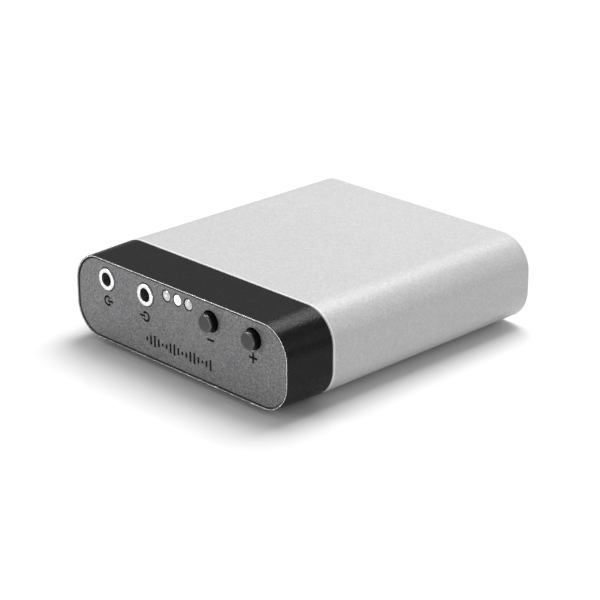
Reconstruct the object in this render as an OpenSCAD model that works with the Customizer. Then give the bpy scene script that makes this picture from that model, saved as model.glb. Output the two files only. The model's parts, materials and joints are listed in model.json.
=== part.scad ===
// Desktop headphone dac: an extruded sleeve closed by an anodised front bezel with a metal
// front panel and by a screwed rear panel. The main board slides in the sleeve's rails,
// above a flat battery cell. Millimetres, +Z up. The front looks along -Y, and the origin is
// on the surface that the feet stand on, in the middle of the width and of the whole depth.

/* [Housing] */
// Width of the housing
body_w = 80; // [76:1:110]
// Height of the housing without its feet
body_h = 23.5; // [22.5:0.5:34]
// Depth of the housing from the bezel's rim to the rear edge
body_d = 88; // [86:1:130]
// Radius of the four long outer corners
corner_r = 9; // [7:0.5:9.5]
// Wall of the sleeve and of the bezel
wall_t = 2; // [1.6:0.1:2.4]
// Depth of the front bezel
bezel_d = 15; // [14:0.5:18]
// Inward lean of each bezel side from the seam to the rim
bezel_lean = 0.5; // [0.2:0.1:0.8]
// Thickness of the bezel's rim around the front panel
rim_w = 0.45; // [0.4:0.05:1]
// Chamfer of the outer edges at the seam and at the rear
edge_chamfer = 0.3; // [0.1:0.1:0.5]
// Wall of the two locating tongues that the bezel puts into the sleeve
tongue_t = 1.4; // [1:0.1:1.8]
// Length of the tongues past the seam
tongue_l = 3.4; // [2.5:0.1:5]
// Distance of the tongues' inner edges from the housing's side
tongue_reach = 7.5; // [6:0.5:8]
// Side gap between a tongue and the sleeve
tongue_gap = 0.1; // [0.05:0.05:0.3]

/* [Panels] */
// Thickness of the front panel
panel_t = 2; // [1.6:0.1:2.4]
// How far the front panel lies behind the rim
panel_recess = 0.3; // [0.1:0.1:0.6]
// Gap around the front and rear panels
panel_gap = 0.15; // [0.1:0.05:0.3]
// Chamfer of the panels' outer edges
panel_chamfer = 0.15; // [0.05:0.05:0.25]
// Thickness of the adhesive tape behind the front panel
tape_t = 0.2; // [0.1:0.05:0.4]
// Depth of the engraved symbols
engrave_d = 0.2; // [0.1:0.05:0.4]
// Thickness of the ink in the engraved symbols
ink_t = 0.15; // [0.05:0.05:0.3]
// Thickness of the rear panel
rear_t = 2; // [1.5:0.1:3]
// How far the rear panel lies inside the sleeve's rear edge
rear_inset = 0.6; // [0.2:0.1:2]

/* [Screws] */
// Radius of the screws' threads
screw_r = 1; // [0.8:0.05:1.2]
// Radial clearance of a screw in its hole
screw_gap = 0.05; // [0.03:0.01:0.1]
// Distance of the screw axes from the inner corner wall
screw_inset = 2.2; // [2:0.1:2.4]
// Radius of the front screws' pan heads
pan_r = 1.8; // [1.6:0.05:1.85]
// Height of the pan heads
pan_h = 1.3; // [1:0.1:1.6]
// Radius of the rear screws' flat heads
flat_r = 1.7; // [1.5:0.05:1.8]
// Length of the front screws under the head
front_screw_l = 14; // [12:1:18]
// Length of the rear screws with the head
rear_screw_l = 8; // [5:1:12]
// Front face of the bezel's corner bosses
boss_y = 9; // [8:0.5:10]
// Thickness of material under a front screw's head
boss_floor = 6.4; // [5:0.1:8]

/* [Controls] */
// Distance from the middle to the inner jack and the minus key
control_x = 12.2; // [12:0.1:16]
// Pitch between two neighbouring controls
control_pitch = 15.2; // [14.5:0.1:16]
// Gap between the bezel's ceiling and the tallest flange under it
ceiling_gap = 0.2; // [0.1:0.1:0.5]
// Bore radius of the 3.5 mm jacks
jack_bore_r = 1.8; // [1.75:0.05:2.1]
// Outer radius of the jack rings in the panel
ring_r = 3.05; // [2.8:0.05:3.4]
// Radius of the jacks' flanges behind the panel
ring_flange_r = 3.7; // [3.5:0.1:4]
// Height of the control axes above the main board
axis_h = 4; // [3.9:0.1:4.6]
// Width of a jack's moulded body
jack_w = 8.2; // [7.6:0.1:8.4]
// Length of a jack's moulded body
jack_l = 12.5; // [11:0.5:14]
// Height of a jack's moulded body above its axis
jack_top = 3.4; // [3.1:0.1:3.7]
// Distance between two of the indicator lights
led_pitch = 4.1; // [3.7:0.1:4.5]
// Radius of an indicator light
led_r = 1.5; // [1.3:0.1:1.6]
// Radius of the key caps
key_r = 2.4; // [2:0.1:2.6]
// How far the keys stand in front of the rim
key_out = 1.7; // [1:0.1:3]
// Travel of a key
key_travel = 0.5; // [0.3:0.1:0.6]
// Gap around a key in the panel
key_gap = 0.45; // [0.2:0.05:0.5]
// Gap around the jack rings in the panel
ring_gap = 0.2; // [0.1:0.05:0.3]

/* [Boards and battery] */
// Thickness of the main board
board_t = 1.6; // [1:0.2:2]
// Side gap between the main board and the sleeve
board_gap = 0.3; // [0.1:0.1:0.5]
// How far the rails stand out of the sleeve's walls
rail_w = 1.8; // [1.2:0.1:2]
// Thickness of a rail
rail_t = 1; // [0.8:0.1:1.1]
// Length of the leads below the main board
lead_l = 1; // [0.6:0.1:1.4]
// Width of the battery cell
cell_w = 54; // [40:1:58]
// Length of the battery cell
cell_l = 49; // [40:1:50]
// Thickness of the foam pad under the battery cell
pad_t = 0.8; // [0.5:0.1:1.5]
// Thickness of the insulating sheet on the battery cell
sheet_t = 0.2; // [0.1:0.05:0.4]
// Free space between the battery's sheet and the leads above it
lead_gap = 0.8; // [0.4:0.1:1.5]
// Radius of a battery lead
wire_r = 0.55; // [0.4:0.05:0.7]

/* [Feet and socket] */
// Radius of a foot
foot_r = 4.5; // [3:0.1:6]
// Height of a foot
foot_h = 1; // [0.6:0.1:3]
// Distance of the feet from the housing's sides
foot_side = 15; // [13:1:20]
// Distance of the front feet from the rim
foot_front = 26; // [24:1:32]
// Distance of the rear feet from the rear edge
foot_rear = 12; // [10:1:20]
// Outer width of the usb socket
usb_w = 7.7; // [7:0.1:9]
// Outer height of the usb socket
usb_h = 3.9; // [3:0.1:4.5]
// Length of the usb socket
usb_l = 9.2; // [8:0.1:11]
// Place of the usb socket to the left of the middle, seen from the front
usb_left = 18; // [10:1:22]
// Gap around the usb socket in the rear panel
usb_gap = 0.5; // [0.2:0.1:1]

/* [Hidden] */
$fn = 64;

// Sheet metal, plating and small clearances
sheet_metal_t = 0.3;
fit_gap = 0.05;
small_gap = 0.1;
join = 0.2;
cut = 1;

// Housing profile at the inside of the walls
inner_w = body_w - 2 * wall_t;
inner_h = body_h - 2 * wall_t;
inner_r = corner_r - wall_t;
mid_y = (body_d - key_out) / 2;

// Stations along the depth, from the rim
panel_y = panel_recess;
tape_y = panel_y + panel_t;
seat_y = tape_y + tape_t;
tongue_y = bezel_d + tongue_l;
tongue_root = 4;
rear_y = body_d - rear_inset - rear_t;
rear_face = rear_y + rear_t;
port_y = tongue_y + small_gap;

// Screw axes, and their bosses against the inner corners
screw_x = inner_w / 2 - inner_r + (inner_r - screw_inset) * cos(45);
screw_low = wall_t + inner_r - (inner_r - screw_inset) * sin(45);
screw_z = [screw_low, body_h - screw_low];
boss_r = screw_inset + join;
bore_r = screw_r + screw_gap;
head_gap = 0.15;
head_y = bezel_d + tongue_l - boss_floor;
recess_w = 0.5;
recess_d = 0.7;

// Heights
control_z = body_h - wall_t - ceiling_gap - ring_flange_r;
led_flange_r = led_r + 0.2;
led_z = body_h - wall_t - ceiling_gap - led_flange_r;
board_top = control_z - axis_h;
board_low = board_top - board_t;
lead_low = board_low - lead_l;
sheet_top = lead_low - lead_gap;
cell_top = sheet_top - sheet_t;
cell_low = wall_t + pad_t;

// Places of the controls
jack_x = [-control_x - control_pitch, -control_x];
key_x = [control_x, control_x + control_pitch];
led_x = [-led_pitch, 0, led_pitch];
jack_y = 3.5;
ring_flange_t = 0.6;
tube_r = 2.6;
tube_y = 7;
bore_end = 14.4;
leaf_w = 1.2;
leaf_y = 8;
leaf_rise = 0.1;
pin_r = 0.4;
hole_gap = 0.15;
strip_hole_r = 0.8;
jack_pin_x = 3.2;
jack_pin_y = [6, 12];

// Keys and their switches
key_chamfer = 0.2;
key_flange_r = key_r + 1;
key_flange_t = 0.8;
key_flange_y = tape_y + small_gap;
key_boss_l = 0.6;
key_end = key_flange_y + key_flange_t + key_boss_l;
socket_d = 2.5;
stem_r = 1.75;
stem_y = key_end - socket_d;
cover_y = key_end + key_travel + 0.85;
switch_y = cover_y + sheet_metal_t;
collar_r = 2.3;
collar_t = 0.5;
collar_y = switch_y + small_gap;
dome_t = 0.1;
dome_rise = 0.6;
dome_r = 2.4;
dome_y = collar_y + collar_t + key_travel + fit_gap;
switch_w = 6.2;
switch_l = 3.6;
switch_top = 3.1;
switch_pin_x = 2.25;
switch_pin_y = switch_y + 2.6;
cover_leg_x = 2.6;
cover_leg_w = 0.8;

// Indicator lights
led_tip = 0.1;
led_curve_r = 2 * led_r;
led_flange_y = 4.8;
led_flange_t = 1;
holder_y = led_flange_y + led_flange_t;
holder_l = 4;
holder_w = 2 * led_pitch + 2 * led_flange_r + 0.6;
led_lead_r = 0.25;
led_lead_x = 1.27;
led_lead_y = holder_y + holder_l + 1.2;

// Engraved marks on the front panel
line_w = 0.6;
symbol_drop = 5.9;
arc_r = 1.45;
arc_open = 34;
arrow_l = 2.4;
arrow_head = 0.85;
minus_w = 2.6;
plus_w = 2.9;
sign_drop = 5;
bars_drop = 11.8;
bar_count = 17;
bar_pitch = 1.5;
bar_w = 0.7;
bar_min = 0.8;
bar_max = 3.2;
ink_gap = 0.02;

// Main board outline
board_half = inner_w / 2 - board_gap;
board_y = [21, rear_y - 0.5];
neck_half = inner_w / 2 - tongue_gap - tongue_t - 0.7;
neck_y = jack_y + 1.1;
rail_gap = 0.2;

// Usb socket at the rear of the board
usb_x = -usb_left;
usb_face = rear_face - 0.4;
usb_y = usb_face - usb_l;
usb_z = board_top + usb_h / 2;
usb_leg_x = usb_w / 2 - 0.5;
usb_leg_y = [1.6, 5.2];
usb_tongue_t = 1.2;
usb_tongue_w = 5;
usb_pin_pitch = 0.8;

// Battery, its guard board, its socket and its leads
cell_y = rear_y - 9.4 - cell_l;
guard_t = 1;
guard_w = 40;
guard_h = 0.75;
guard_y = cell_y - guard_t;
guard_z = cell_low + (cell_top - cell_low) * (1 - guard_h) / 2;
plug_w = 5.8;
plug_h = 3.2;
plug_y = 14;
plug_l = 7;
socket_l = 5;
plug_in = 3;
socket_wall = 0.7;
socket_x = -6;
plug_x = socket_x + socket_l - plug_in + 0.1;
plug_z = board_low - socket_wall - fit_gap - plug_h / 2;
plug_end = plug_x + plug_l;
wire_z = (cell_low + cell_top) / 2;
wire_low = min(plug_z, wire_z);
wire_sides = 8;
wire_steps = 6;
red_route = [[plug_end, plug_y + 1.3, plug_z], [plug_end + 3, plug_y + 1.3, plug_z],
    [plug_end + 8, plug_y + 1.8, wire_low], [plug_end + 12, plug_y + 5, wire_low],
    [plug_end + 13, guard_y - 3, wire_z], [plug_end + 13, guard_y, wire_z]];
black_route = [[plug_end, plug_y + 4.3, plug_z], [plug_end + 2, plug_y + 4.3, plug_z],
    [plug_end + 5.5, plug_y + 4.9, wire_low], [plug_end + 8.5, plug_y + 7, wire_low],
    [plug_end + 9.5, guard_y - 2.6, wire_z], [plug_end + 9.5, guard_y, wire_z]];

// Parts on the main board: [x, y] of the middle
amp_at = [[-23, 25], [-13, 25]];
volume_at = [0, 27];
dac_at = [-4, 45];
usb_chip_at = [-19, 62];
charger_at = [22, 58];
can_at = [for (y = [27, 37], x = [11, 19, 27]) [x, y]];
film_at = [for (x = [-29, -21.5, -14, -6.5]) [x, 36]];
crystal_at = [[-2, 56], [-2, 63]];
coil_at = [[14, 70], [23, 70]];
can_r = 3.15;
can_h = 5.8;
can_base_w = 6.6;
can_base_t = 0.8;
small_pitch = 3;

// ---- Shared shapes -------------------------------------------------------------------

// Moves a shape from the housing's own frame, rim plane and underside, to the part's frame
module in_frame() {
    translate([0, -mid_y, foot_h]) children();
}

// Rounded rectangle centred across the width, its underside at the height low
module profile(w, h, r, low) {
    translate([0, low]) {
        translate([-w / 2 + r, 0]) square([w - 2 * r, h]);
        translate([-w / 2, r]) square([w, h - 2 * r]);
        for (x = [r - w / 2, w / 2 - r], z = [r, h - r])
            translate([x, z]) circle(r = r);
    }
}

// Extrudes a flat outline, drawn as seen from the front, from y0 back to y1
module along_y(y0, y1) {
    translate([0, y1, 0]) rotate([90, 0, 0]) linear_extrude(y1 - y0) children();
}

// Housing profile grown or shrunk evenly, from y0 to y1
module bar(grow, y0, y1) {
    along_y(y0, y1) profile(body_w + 2 * grow, body_h + 2 * grow, corner_r + grow, -grow);
}

// Housing profile that grows evenly from grow0 at y0 to grow1 at y1
module flared_bar(grow0, grow1, y0, y1) {
    side = body_w / 2 - corner_r;
    for (x = [-side, side], z = [corner_r, body_h - corner_r])
        translate([x, y0, z]) rotate([-90, 0, 0])
            cylinder(h = y1 - y0, r1 = corner_r + grow0, r2 = corner_r + grow1);
    translate([-side, 0, 0]) rotate([90, 0, 90]) linear_extrude(2 * side)
        polygon([[y0, -grow0], [y1, -grow1], [y1, body_h + grow1], [y0, body_h + grow0]]);
    translate([0, 0, corner_r]) linear_extrude(body_h - 2 * corner_r)
        polygon([[-body_w / 2 - grow0, y0], [body_w / 2 + grow0, y0],
            [body_w / 2 + grow1, y1], [-body_w / 2 - grow1, y1]]);
}

// Round rod along y
module rod(x, z, r, y0, y1) {
    translate([x, y1, z]) rotate([90, 0, 0]) cylinder(h = y1 - y0, r = r);
}

// Cone along y, r0 at y0 and r1 at y1
module taper(x, z, r0, r1, y0, y1) {
    translate([x, y0, z]) rotate([-90, 0, 0]) cylinder(h = y1 - y0, r1 = r0, r2 = r1);
}

// Upright round pin or hole
module post(x, y, r, z0, z1) {
    translate([x, y, z0]) cylinder(h = z1 - z0, r = r);
}

// Box between two corners
module block(low, high) {
    translate(low) cube(high - low);
}

// Calls its children once at each of the four screw axes
module at_screws() {
    for (x = [-screw_x, screw_x], z = screw_z)
        translate([x, 0, z]) children();
}

// Cross recess cut into a screw head whose face is at y, opening towards dir
module cross_recess(y, dir) {
    y0 = dir < 0 ? y - cut : y - recess_d;
    y1 = dir < 0 ? y + recess_d : y + cut;
    for (a = [0, 90]) rotate([0, a, 0])
        translate([-screw_r, y0, -recess_w / 2]) cube([2 * screw_r, y1 - y0, recess_w]);
}

// ---- Housing -------------------------------------------------------------------------

module sleeve() color("#c9cacc") in_frame() difference() {
    union() {
        difference() {
            union() {
                flared_bar(-edge_chamfer, 0, bezel_d, bezel_d + edge_chamfer);
                bar(0, bezel_d + edge_chamfer, body_d - edge_chamfer);
                flared_bar(0, -edge_chamfer, body_d - edge_chamfer, body_d);
            }
            bar(-wall_t, bezel_d - cut, body_d + cut);
        }
        at_screws() rod(0, 0, boss_r, port_y, rear_y);
        for (side = [-1, 1], z = [board_low - rail_t, board_top + rail_gap])
            translate([side * (inner_w / 2 - rail_w / 2 + join / 2), 0, z])
                block([-(rail_w + join) / 2, port_y, 0], [(rail_w + join) / 2, rear_y, rail_t]);
    }
    at_screws() rod(0, 0, bore_r, port_y - cut, rear_y + cut);
}

// The ring that the two tongues are cut from, solid from y0 to y1
module tongue_ring(grow, y0, y1) {
    difference() {
        bar(grow - wall_t, y0, y1);
        bar(-wall_t - tongue_gap - tongue_t, y0 - cut, y1 + cut);
        x = body_w / 2 - tongue_reach;
        block([-x, y0 - cut, -cut], [x, y1 + cut, body_h + cut]);
    }
}

module front_bezel() color("#2c2d2f") in_frame() difference() {
    union() {
        difference() {
            union() {
                flared_bar(-bezel_lean, 0, 0, bezel_d - edge_chamfer);
                flared_bar(0, -edge_chamfer, bezel_d - edge_chamfer, bezel_d);
            }
            bar(-bezel_lean - rim_w, -cut, seat_y);
            bar(-wall_t, seat_y - cut, bezel_d + cut);
        }
        tongue_ring(join, bezel_d - tongue_root, bezel_d - edge_chamfer);
        tongue_ring(-tongue_gap, bezel_d - tongue_root, tongue_y);
        intersection() {
            at_screws() rod(0, 0, boss_r, boss_y, tongue_y);
            union() {
                bar(join - wall_t, boss_y - cut, bezel_d - edge_chamfer);
                bar(-wall_t - tongue_gap, bezel_d - cut, tongue_y + cut);
            }
        }
    }
    at_screws() rod(0, 0, bore_r, boss_y - cut, tongue_y + cut);
    at_screws() rod(0, 0, pan_r + head_gap, boss_y - cut, head_y);
}

module bezel_screws() color("#8c8e91") in_frame() at_screws() difference() {
    union() {
        rod(0, 0, pan_r, head_y - pan_h, head_y);
        rod(0, 0, screw_r, head_y - join, head_y + front_screw_l);
    }
    cross_recess(head_y - pan_h, -1);
}

module rear_panel() color("#3a3b3d") in_frame() difference() {
    union() {
        bar(-wall_t - panel_gap, rear_y, rear_face - panel_chamfer);
        flared_bar(-wall_t - panel_gap, -wall_t - panel_gap - panel_chamfer,
            rear_face - panel_chamfer, rear_face);
    }
    at_screws() rod(0, 0, bore_r, rear_y - cut, rear_face + cut);
    at_screws() taper(0, 0, screw_r, flat_r, rear_face - flat_r + screw_r, rear_face);
    translate([usb_x, 0, 0])
        block([-usb_w / 2 - usb_gap, rear_y - cut, usb_z - usb_h / 2 - usb_gap],
            [usb_w / 2 + usb_gap, rear_face + cut, usb_z + usb_h / 2 + usb_gap]);
}

module rear_screws() color("#8c8e91") in_frame() at_screws() difference() {
    union() {
        taper(0, 0, screw_r, flat_r, rear_face - flat_r + screw_r, rear_face);
        rod(0, 0, screw_r, rear_face - rear_screw_l, rear_face - flat_r + screw_r + fit_gap);
    }
    cross_recess(rear_face, 1);
}

// Rubber foot, side -1 on the left and 1 on the right, at y
module foot(side, y) color("#1c1c1d") in_frame() {
    edge = foot_h / 4;
    translate([side * (body_w / 2 - foot_side), y, -foot_h]) {
        cylinder(h = edge, r1 = foot_r - edge, r2 = foot_r);
        translate([0, 0, edge]) cylinder(h = foot_h - edge, r = foot_r);
    }
}

// ---- Front panel ---------------------------------------------------------------------

// Ring symbol with its opening towards dir and an arrow whose tip is at arrow_end
module ring_symbol(dir, arrow_end, grow) {
    difference() {
        circle(r = arc_r + grow);
        circle(r = arc_r - line_w - grow);
        reach = 2 * arc_r;
        polygon([[0, 0], [dir * reach, reach * tan(arc_open - grow)],
            [dir * reach, -reach * tan(arc_open - grow)]]);
    }
    shaft = arrow_end - arrow_l;
    translate([shaft - grow, -line_w / 2 - grow])
        square([arrow_l - arrow_head + 2 * grow, line_w + 2 * grow]);
    polygon([[arrow_end - arrow_head - grow, -arrow_head / 2 - grow],
        [arrow_end + grow, 0], [arrow_end - arrow_head - grow, arrow_head / 2 + grow]]);
}

// Height of one of the level bars, a low rolling wave
function bar_height(i) = bar_min + (bar_max - bar_min) * pow(sin(i * 37 + 20), 2);

// All marks of the panel as a flat outline, grown evenly
module marks(grow) {
    translate([jack_x[0], control_z - symbol_drop]) ring_symbol(1, arrow_l, grow);
    translate([jack_x[1], control_z - symbol_drop]) ring_symbol(-1, 0, grow);
    for (x = key_x) translate([x, control_z - sign_drop]) {
        w = x == key_x[0] ? minus_w : plus_w;
        translate([-w / 2 - grow, -line_w / 2 - grow]) square([w + 2 * grow, line_w + 2 * grow]);
    }
    translate([key_x[1] - line_w / 2 - grow, control_z - sign_drop - plus_w / 2 - grow])
        square([line_w + 2 * grow, plus_w + 2 * grow]);
    for (i = [0:bar_count - 1])
        translate([(i - (bar_count - 1) / 2) * bar_pitch, control_z - bars_drop])
            square([bar_w + 2 * grow, bar_height(i) + 2 * grow], center = true);
}

module front_panel() color("#737476") in_frame() difference() {
    union() {
        flared_bar(-bezel_lean - rim_w - panel_gap - panel_chamfer, -bezel_lean - rim_w - panel_gap,
            panel_y, panel_y + panel_chamfer);
        bar(-bezel_lean - rim_w - panel_gap, panel_y + panel_chamfer, tape_y);
    }
    for (x = jack_x) rod(x, control_z, ring_r + ring_gap, panel_y - cut, tape_y + cut);
    for (x = key_x) rod(x, control_z, key_r + key_gap, panel_y - cut, tape_y + cut);
    for (x = led_x) rod(x, led_z, led_flange_r, panel_y - cut, tape_y + cut);
    along_y(panel_y - cut, panel_y + engrave_d) marks(0);
}

module panel_symbols() color("#0d0d0e") in_frame()
    along_y(panel_y + engrave_d - ink_t, panel_y + engrave_d) marks(-ink_gap);

module panel_tape() color("#4d4a44") in_frame() difference() {
    bar(-bezel_lean - rim_w - panel_gap, tape_y, seat_y);
    bar(-wall_t, tape_y - cut, seat_y + cut);
}

// ---- Main board ----------------------------------------------------------------------

// Through holes for every lead, pin and leg that stands in the board
module board_holes() {
    low = board_low - cut;
    high = board_top + cut;
    for (x = jack_x) {
        for (dx = [-jack_pin_x, jack_pin_x], y = jack_pin_y)
            post(x + dx, y, pin_r + hole_gap, low, high);
        post(x, jack_y + jack_l + sheet_metal_t / 2, strip_hole_r, low, high);
    }
    for (x = key_x, side = [-1, 1]) {
        post(x + side * switch_pin_x, switch_pin_y, pin_r + hole_gap, low, high);
        post(x + side * cover_leg_x, cover_y + sheet_metal_t / 2, pin_r + hole_gap, low, high);
    }
    for (x = led_x, side = [-1, 1])
        post(x + side * led_lead_x, led_lead_y, led_lead_r + hole_gap, low, high);
    for (side = [-1, 1], y = usb_leg_y)
        post(usb_x + side * usb_leg_x, usb_y + y, pin_r + hole_gap, low, high);
    for (y = [plug_y + 1.3, plug_y + 4.3])
        post(socket_x + 1.5, y, pin_r + hole_gap, low, high);
}

module main_board() color("#1f5a36") in_frame() difference() {
    union() {
        block([-board_half, board_y[0], board_low], [board_half, board_y[1], board_top]);
        block([-neck_half, neck_y, board_low], [neck_half, board_y[0] + join, board_top]);
    }
    board_holes();
}

// ---- Jacks ---------------------------------------------------------------------------

// Plated ring that shows in the panel, with its flange and its tube
module jack_ring(x) color("#d9d9d6") in_frame() difference() {
    union() {
        rod(x, control_z, ring_r, 0, jack_y - ring_flange_t + join);
        rod(x, control_z, ring_flange_r, jack_y - ring_flange_t, jack_y);
        rod(x, control_z, tube_r, jack_y - join, tube_y);
    }
    rod(x, control_z, jack_bore_r, -cut, tube_y + cut);
}

// Moulded jack body on the board, blind behind, with a slot for its contact leaf
module jack_body(x) color("#17181a") in_frame() difference() {
    block([x - jack_w / 2, jack_y, board_top], [x + jack_w / 2, jack_y + jack_l, control_z + jack_top]);
    rod(x, control_z, tube_r + fit_gap, jack_y - cut, tube_y + small_gap);
    rod(x, control_z, jack_bore_r, jack_y, bore_end);
    block([x - leaf_w / 2 - hole_gap, leaf_y, control_z + jack_bore_r - join],
        [x + leaf_w / 2 + hole_gap, jack_y + jack_l + cut, control_z + jack_top + cut]);
}

// Contact leaf over the bore, bent down behind the body, and the four side pins
module jack_contacts(x) color("#c9a24a") in_frame() {
    leaf_z = control_z + jack_bore_r + leaf_rise;
    back = jack_y + jack_l;
    block([x - leaf_w / 2, leaf_y + small_gap, leaf_z],
        [x + leaf_w / 2, back + sheet_metal_t, leaf_z + sheet_metal_t]);
    block([x - leaf_w / 2, back, lead_low], [x + leaf_w / 2, back + sheet_metal_t, leaf_z + fit_gap]);
    for (dx = [-jack_pin_x, jack_pin_x], y = jack_pin_y)
        post(x + dx, y, pin_r, lead_low, board_top);
}

// ---- Indicator lights ----------------------------------------------------------------

module led(x) color("#e8e9ea") in_frame() {
    intersection() {
        rod(x, led_z, led_r, led_tip - cut, led_flange_y + join);
        translate([x, led_tip + led_curve_r, led_z]) sphere(r = led_curve_r);
    }
    rod(x, led_z, led_flange_r, led_flange_y, led_flange_y + led_flange_t);
}

module led_holder() color("#1b1b1c") in_frame() difference() {
    block([-holder_w / 2, holder_y, board_top], [holder_w / 2, holder_y + holder_l, led_z + led_r]);
    for (x = led_x, side = [-1, 1])
        rod(x + side * led_lead_x, led_z, led_lead_r + small_gap, holder_y - cut,
            holder_y + holder_l + cut);
}

module led_leads() color("#c4c6c8") in_frame()
    for (x = led_x, side = [-1, 1]) translate([x + side * led_lead_x, 0, 0]) {
        rod(0, led_z, led_lead_r, holder_y, led_lead_y);
        translate([0, led_lead_y, led_z]) sphere(r = led_lead_r);
        post(0, led_lead_y, led_lead_r, lead_low, led_z);
    }

// ---- Keys ----------------------------------------------------------------------------

// Key cap with its flange behind the panel and its socket for the switch's stem
module button(x) color("#202123") in_frame() difference() {
    union() {
        taper(x, control_z, key_r - key_chamfer, key_r, -key_out, key_chamfer - key_out);
        rod(x, control_z, key_r, key_chamfer - key_out, key_end);
        rod(x, control_z, key_flange_r, key_flange_y, key_flange_y + key_flange_t);
    }
    rod(x, control_z, stem_r + fit_gap, stem_y, key_end + cut);
}

module switch_plunger(x) color("#3a3b3e") in_frame() {
    rod(x, control_z, stem_r, stem_y, collar_y + join);
    rod(x, control_z, collar_r, collar_y, collar_y + collar_t);
}

// Thin snap dome, its crown towards the front
module switch_dome(x) color("#b9bbbd") in_frame() {
    r = (dome_r * dome_r + dome_rise * dome_rise) / (2 * dome_rise);
    translate([x, dome_y + r, control_z]) rotate([90, 0, 0]) rotate_extrude($fn = 180)
        intersection() {
            difference() {
                circle(r = r, $fn = 720);
                circle(r = r - dome_t, $fn = 720);
            }
            translate([0, r - dome_rise]) square([dome_r, dome_rise]);
        }
}

module switch_body(x) color("#161617") in_frame() {
    difference() {
        block([x - switch_w / 2, switch_y, board_top],
            [x + switch_w / 2, switch_y + switch_l, control_z + switch_top]);
        rod(x, control_z, dome_r + small_gap, switch_y - cut, dome_y + dome_rise);
    }
    for (side = [-1, 1]) post(x + side * switch_pin_x, switch_pin_y, pin_r, lead_low, board_top + join);
}

// Steel cover plate with a hole for the stem and two legs into the board
module switch_cover(x) color("#a8abae") in_frame() difference() {
    union() {
        block([x - switch_w / 2, cover_y, board_top],
            [x + switch_w / 2, switch_y, control_z + switch_top]);
        for (side = [-1, 1]) translate([x + side * cover_leg_x, 0, 0])
            block([-cover_leg_w / 2, cover_y, lead_low], [cover_leg_w / 2, switch_y, board_top + join]);
    }
    rod(x, control_z, stem_r + hole_gap, cover_y - cut, switch_y + cut);
}

// ---- Usb socket ----------------------------------------------------------------------

module usb_socket_shell() color("#b4b6b8") in_frame() translate([usb_x, 0, 0]) {
    difference() {
        block([-usb_w / 2, usb_y, board_top], [usb_w / 2, usb_face, board_top + usb_h]);
        block([-usb_w / 2 + sheet_metal_t, usb_y + sheet_metal_t, board_top + sheet_metal_t],
            [usb_w / 2 - sheet_metal_t, usb_face + cut, board_top + usb_h - sheet_metal_t]);
    }
    for (side = [-1, 1], y = usb_leg_y)
        post(side * usb_leg_x, usb_y + y, pin_r, lead_low, board_top + sheet_metal_t / 2);
}

// Moulded block at the socket's back with the tongue that the plug goes over
module usb_socket_tongue() color("#1a1a1b") in_frame() translate([usb_x, 0, 0]) {
    inset = sheet_metal_t + fit_gap;
    root = 3;
    block([-usb_w / 2 + inset, usb_y + inset, board_top + inset],
        [usb_w / 2 - inset, usb_y + root, board_top + usb_h - inset]);
    block([-usb_tongue_w / 2, usb_y + root - join, usb_z - usb_tongue_t / 2],
        [usb_tongue_w / 2, usb_face - 1.2, usb_z + usb_tongue_t / 2]);
}

module usb_socket_contacts() color("#c9a24a") in_frame() translate([usb_x, 0, 0])
    for (i = [-2:2]) translate([i * usb_pin_pitch, 0, usb_z + usb_tongue_t / 2])
        block([-0.2, usb_y + 3.2, 0], [0.2, usb_face - 1.6, 0.15]);

// ---- Chips and other board parts -----------------------------------------------------

// Flat package with gull-wing leads: rows of n leads along both long sides, on all four
// sides if four is true
module chip(at, w, l, t, n, pitch, four) color("#1d1e20") in_frame()
    translate([at[0], at[1], board_top]) {
        translate([-w / 2, -l / 2, 0.1]) cube([w, l, t]);
        for (turn = four ? [0, 90, 180, 270] : [0, 180], i = [0:n - 1]) rotate([0, 0, turn])
            translate([(i - (n - 1) / 2) * pitch, 0, 0]) {
                reach = (turn % 180 == 0 ? l : w) / 2;
                translate([-pitch / 4, reach - join, 0.3]) cube([pitch / 2, 0.6, 0.2]);
                translate([-pitch / 4, reach + join, 0]) cube([pitch / 2, 0.8, 0.2]);
                translate([-pitch / 4, reach + join, 0]) cube([pitch / 2, 0.2, 0.5]);
            }
    }

module dac_chip() chip(dac_at, 7, 7, 1.2, 8, 0.8, true);
module usb_chip() chip(usb_chip_at, 9, 9, 1.2, 10, 0.8, true);
module amplifier_chips() for (at = amp_at) chip(at, 5, 4, 1.5, 4, 1.27, false);
module volume_chip() chip(volume_at, 10, 5.3, 1.8, 14, 0.65, false);
module charger_chip() chip(charger_at, 4, 4, 1, 4, 0.8, true);

module capacitor_cans() color("#c6c8ca") in_frame() for (at = can_at)
    translate([at[0], at[1], board_top + can_base_t]) {
        difference() {
            cylinder(h = can_h, r = can_r);
            translate([0, 0, 1]) difference() {
                cylinder(h = 0.5, r = can_r + cut);
                cylinder(h = 0.5, r = can_r - 0.25);
            }
        }
    }

module capacitor_bases() color("#202022") in_frame() for (at = can_at)
    translate([at[0], at[1], board_top + can_base_t / 2]) difference() {
        cube([can_base_w, can_base_w, can_base_t], center = true);
        for (side = [-1, 1]) translate([side * can_base_w / 2, can_base_w / 2, 0])
            rotate([0, 0, 45]) cube([1.6, 1.6, 2 * can_base_t], center = true);
    }

module film_capacitors() color("#a32c22") in_frame() for (at = film_at)
    translate([at[0], at[1], board_top]) {
        translate([-1.5, -3.6, 0.4]) cube([3, 7.2, 5.6]);
        for (y = [-2.5, 2.5]) translate([0, y, 0]) cylinder(h = 1, r = 0.3);
    }

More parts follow.
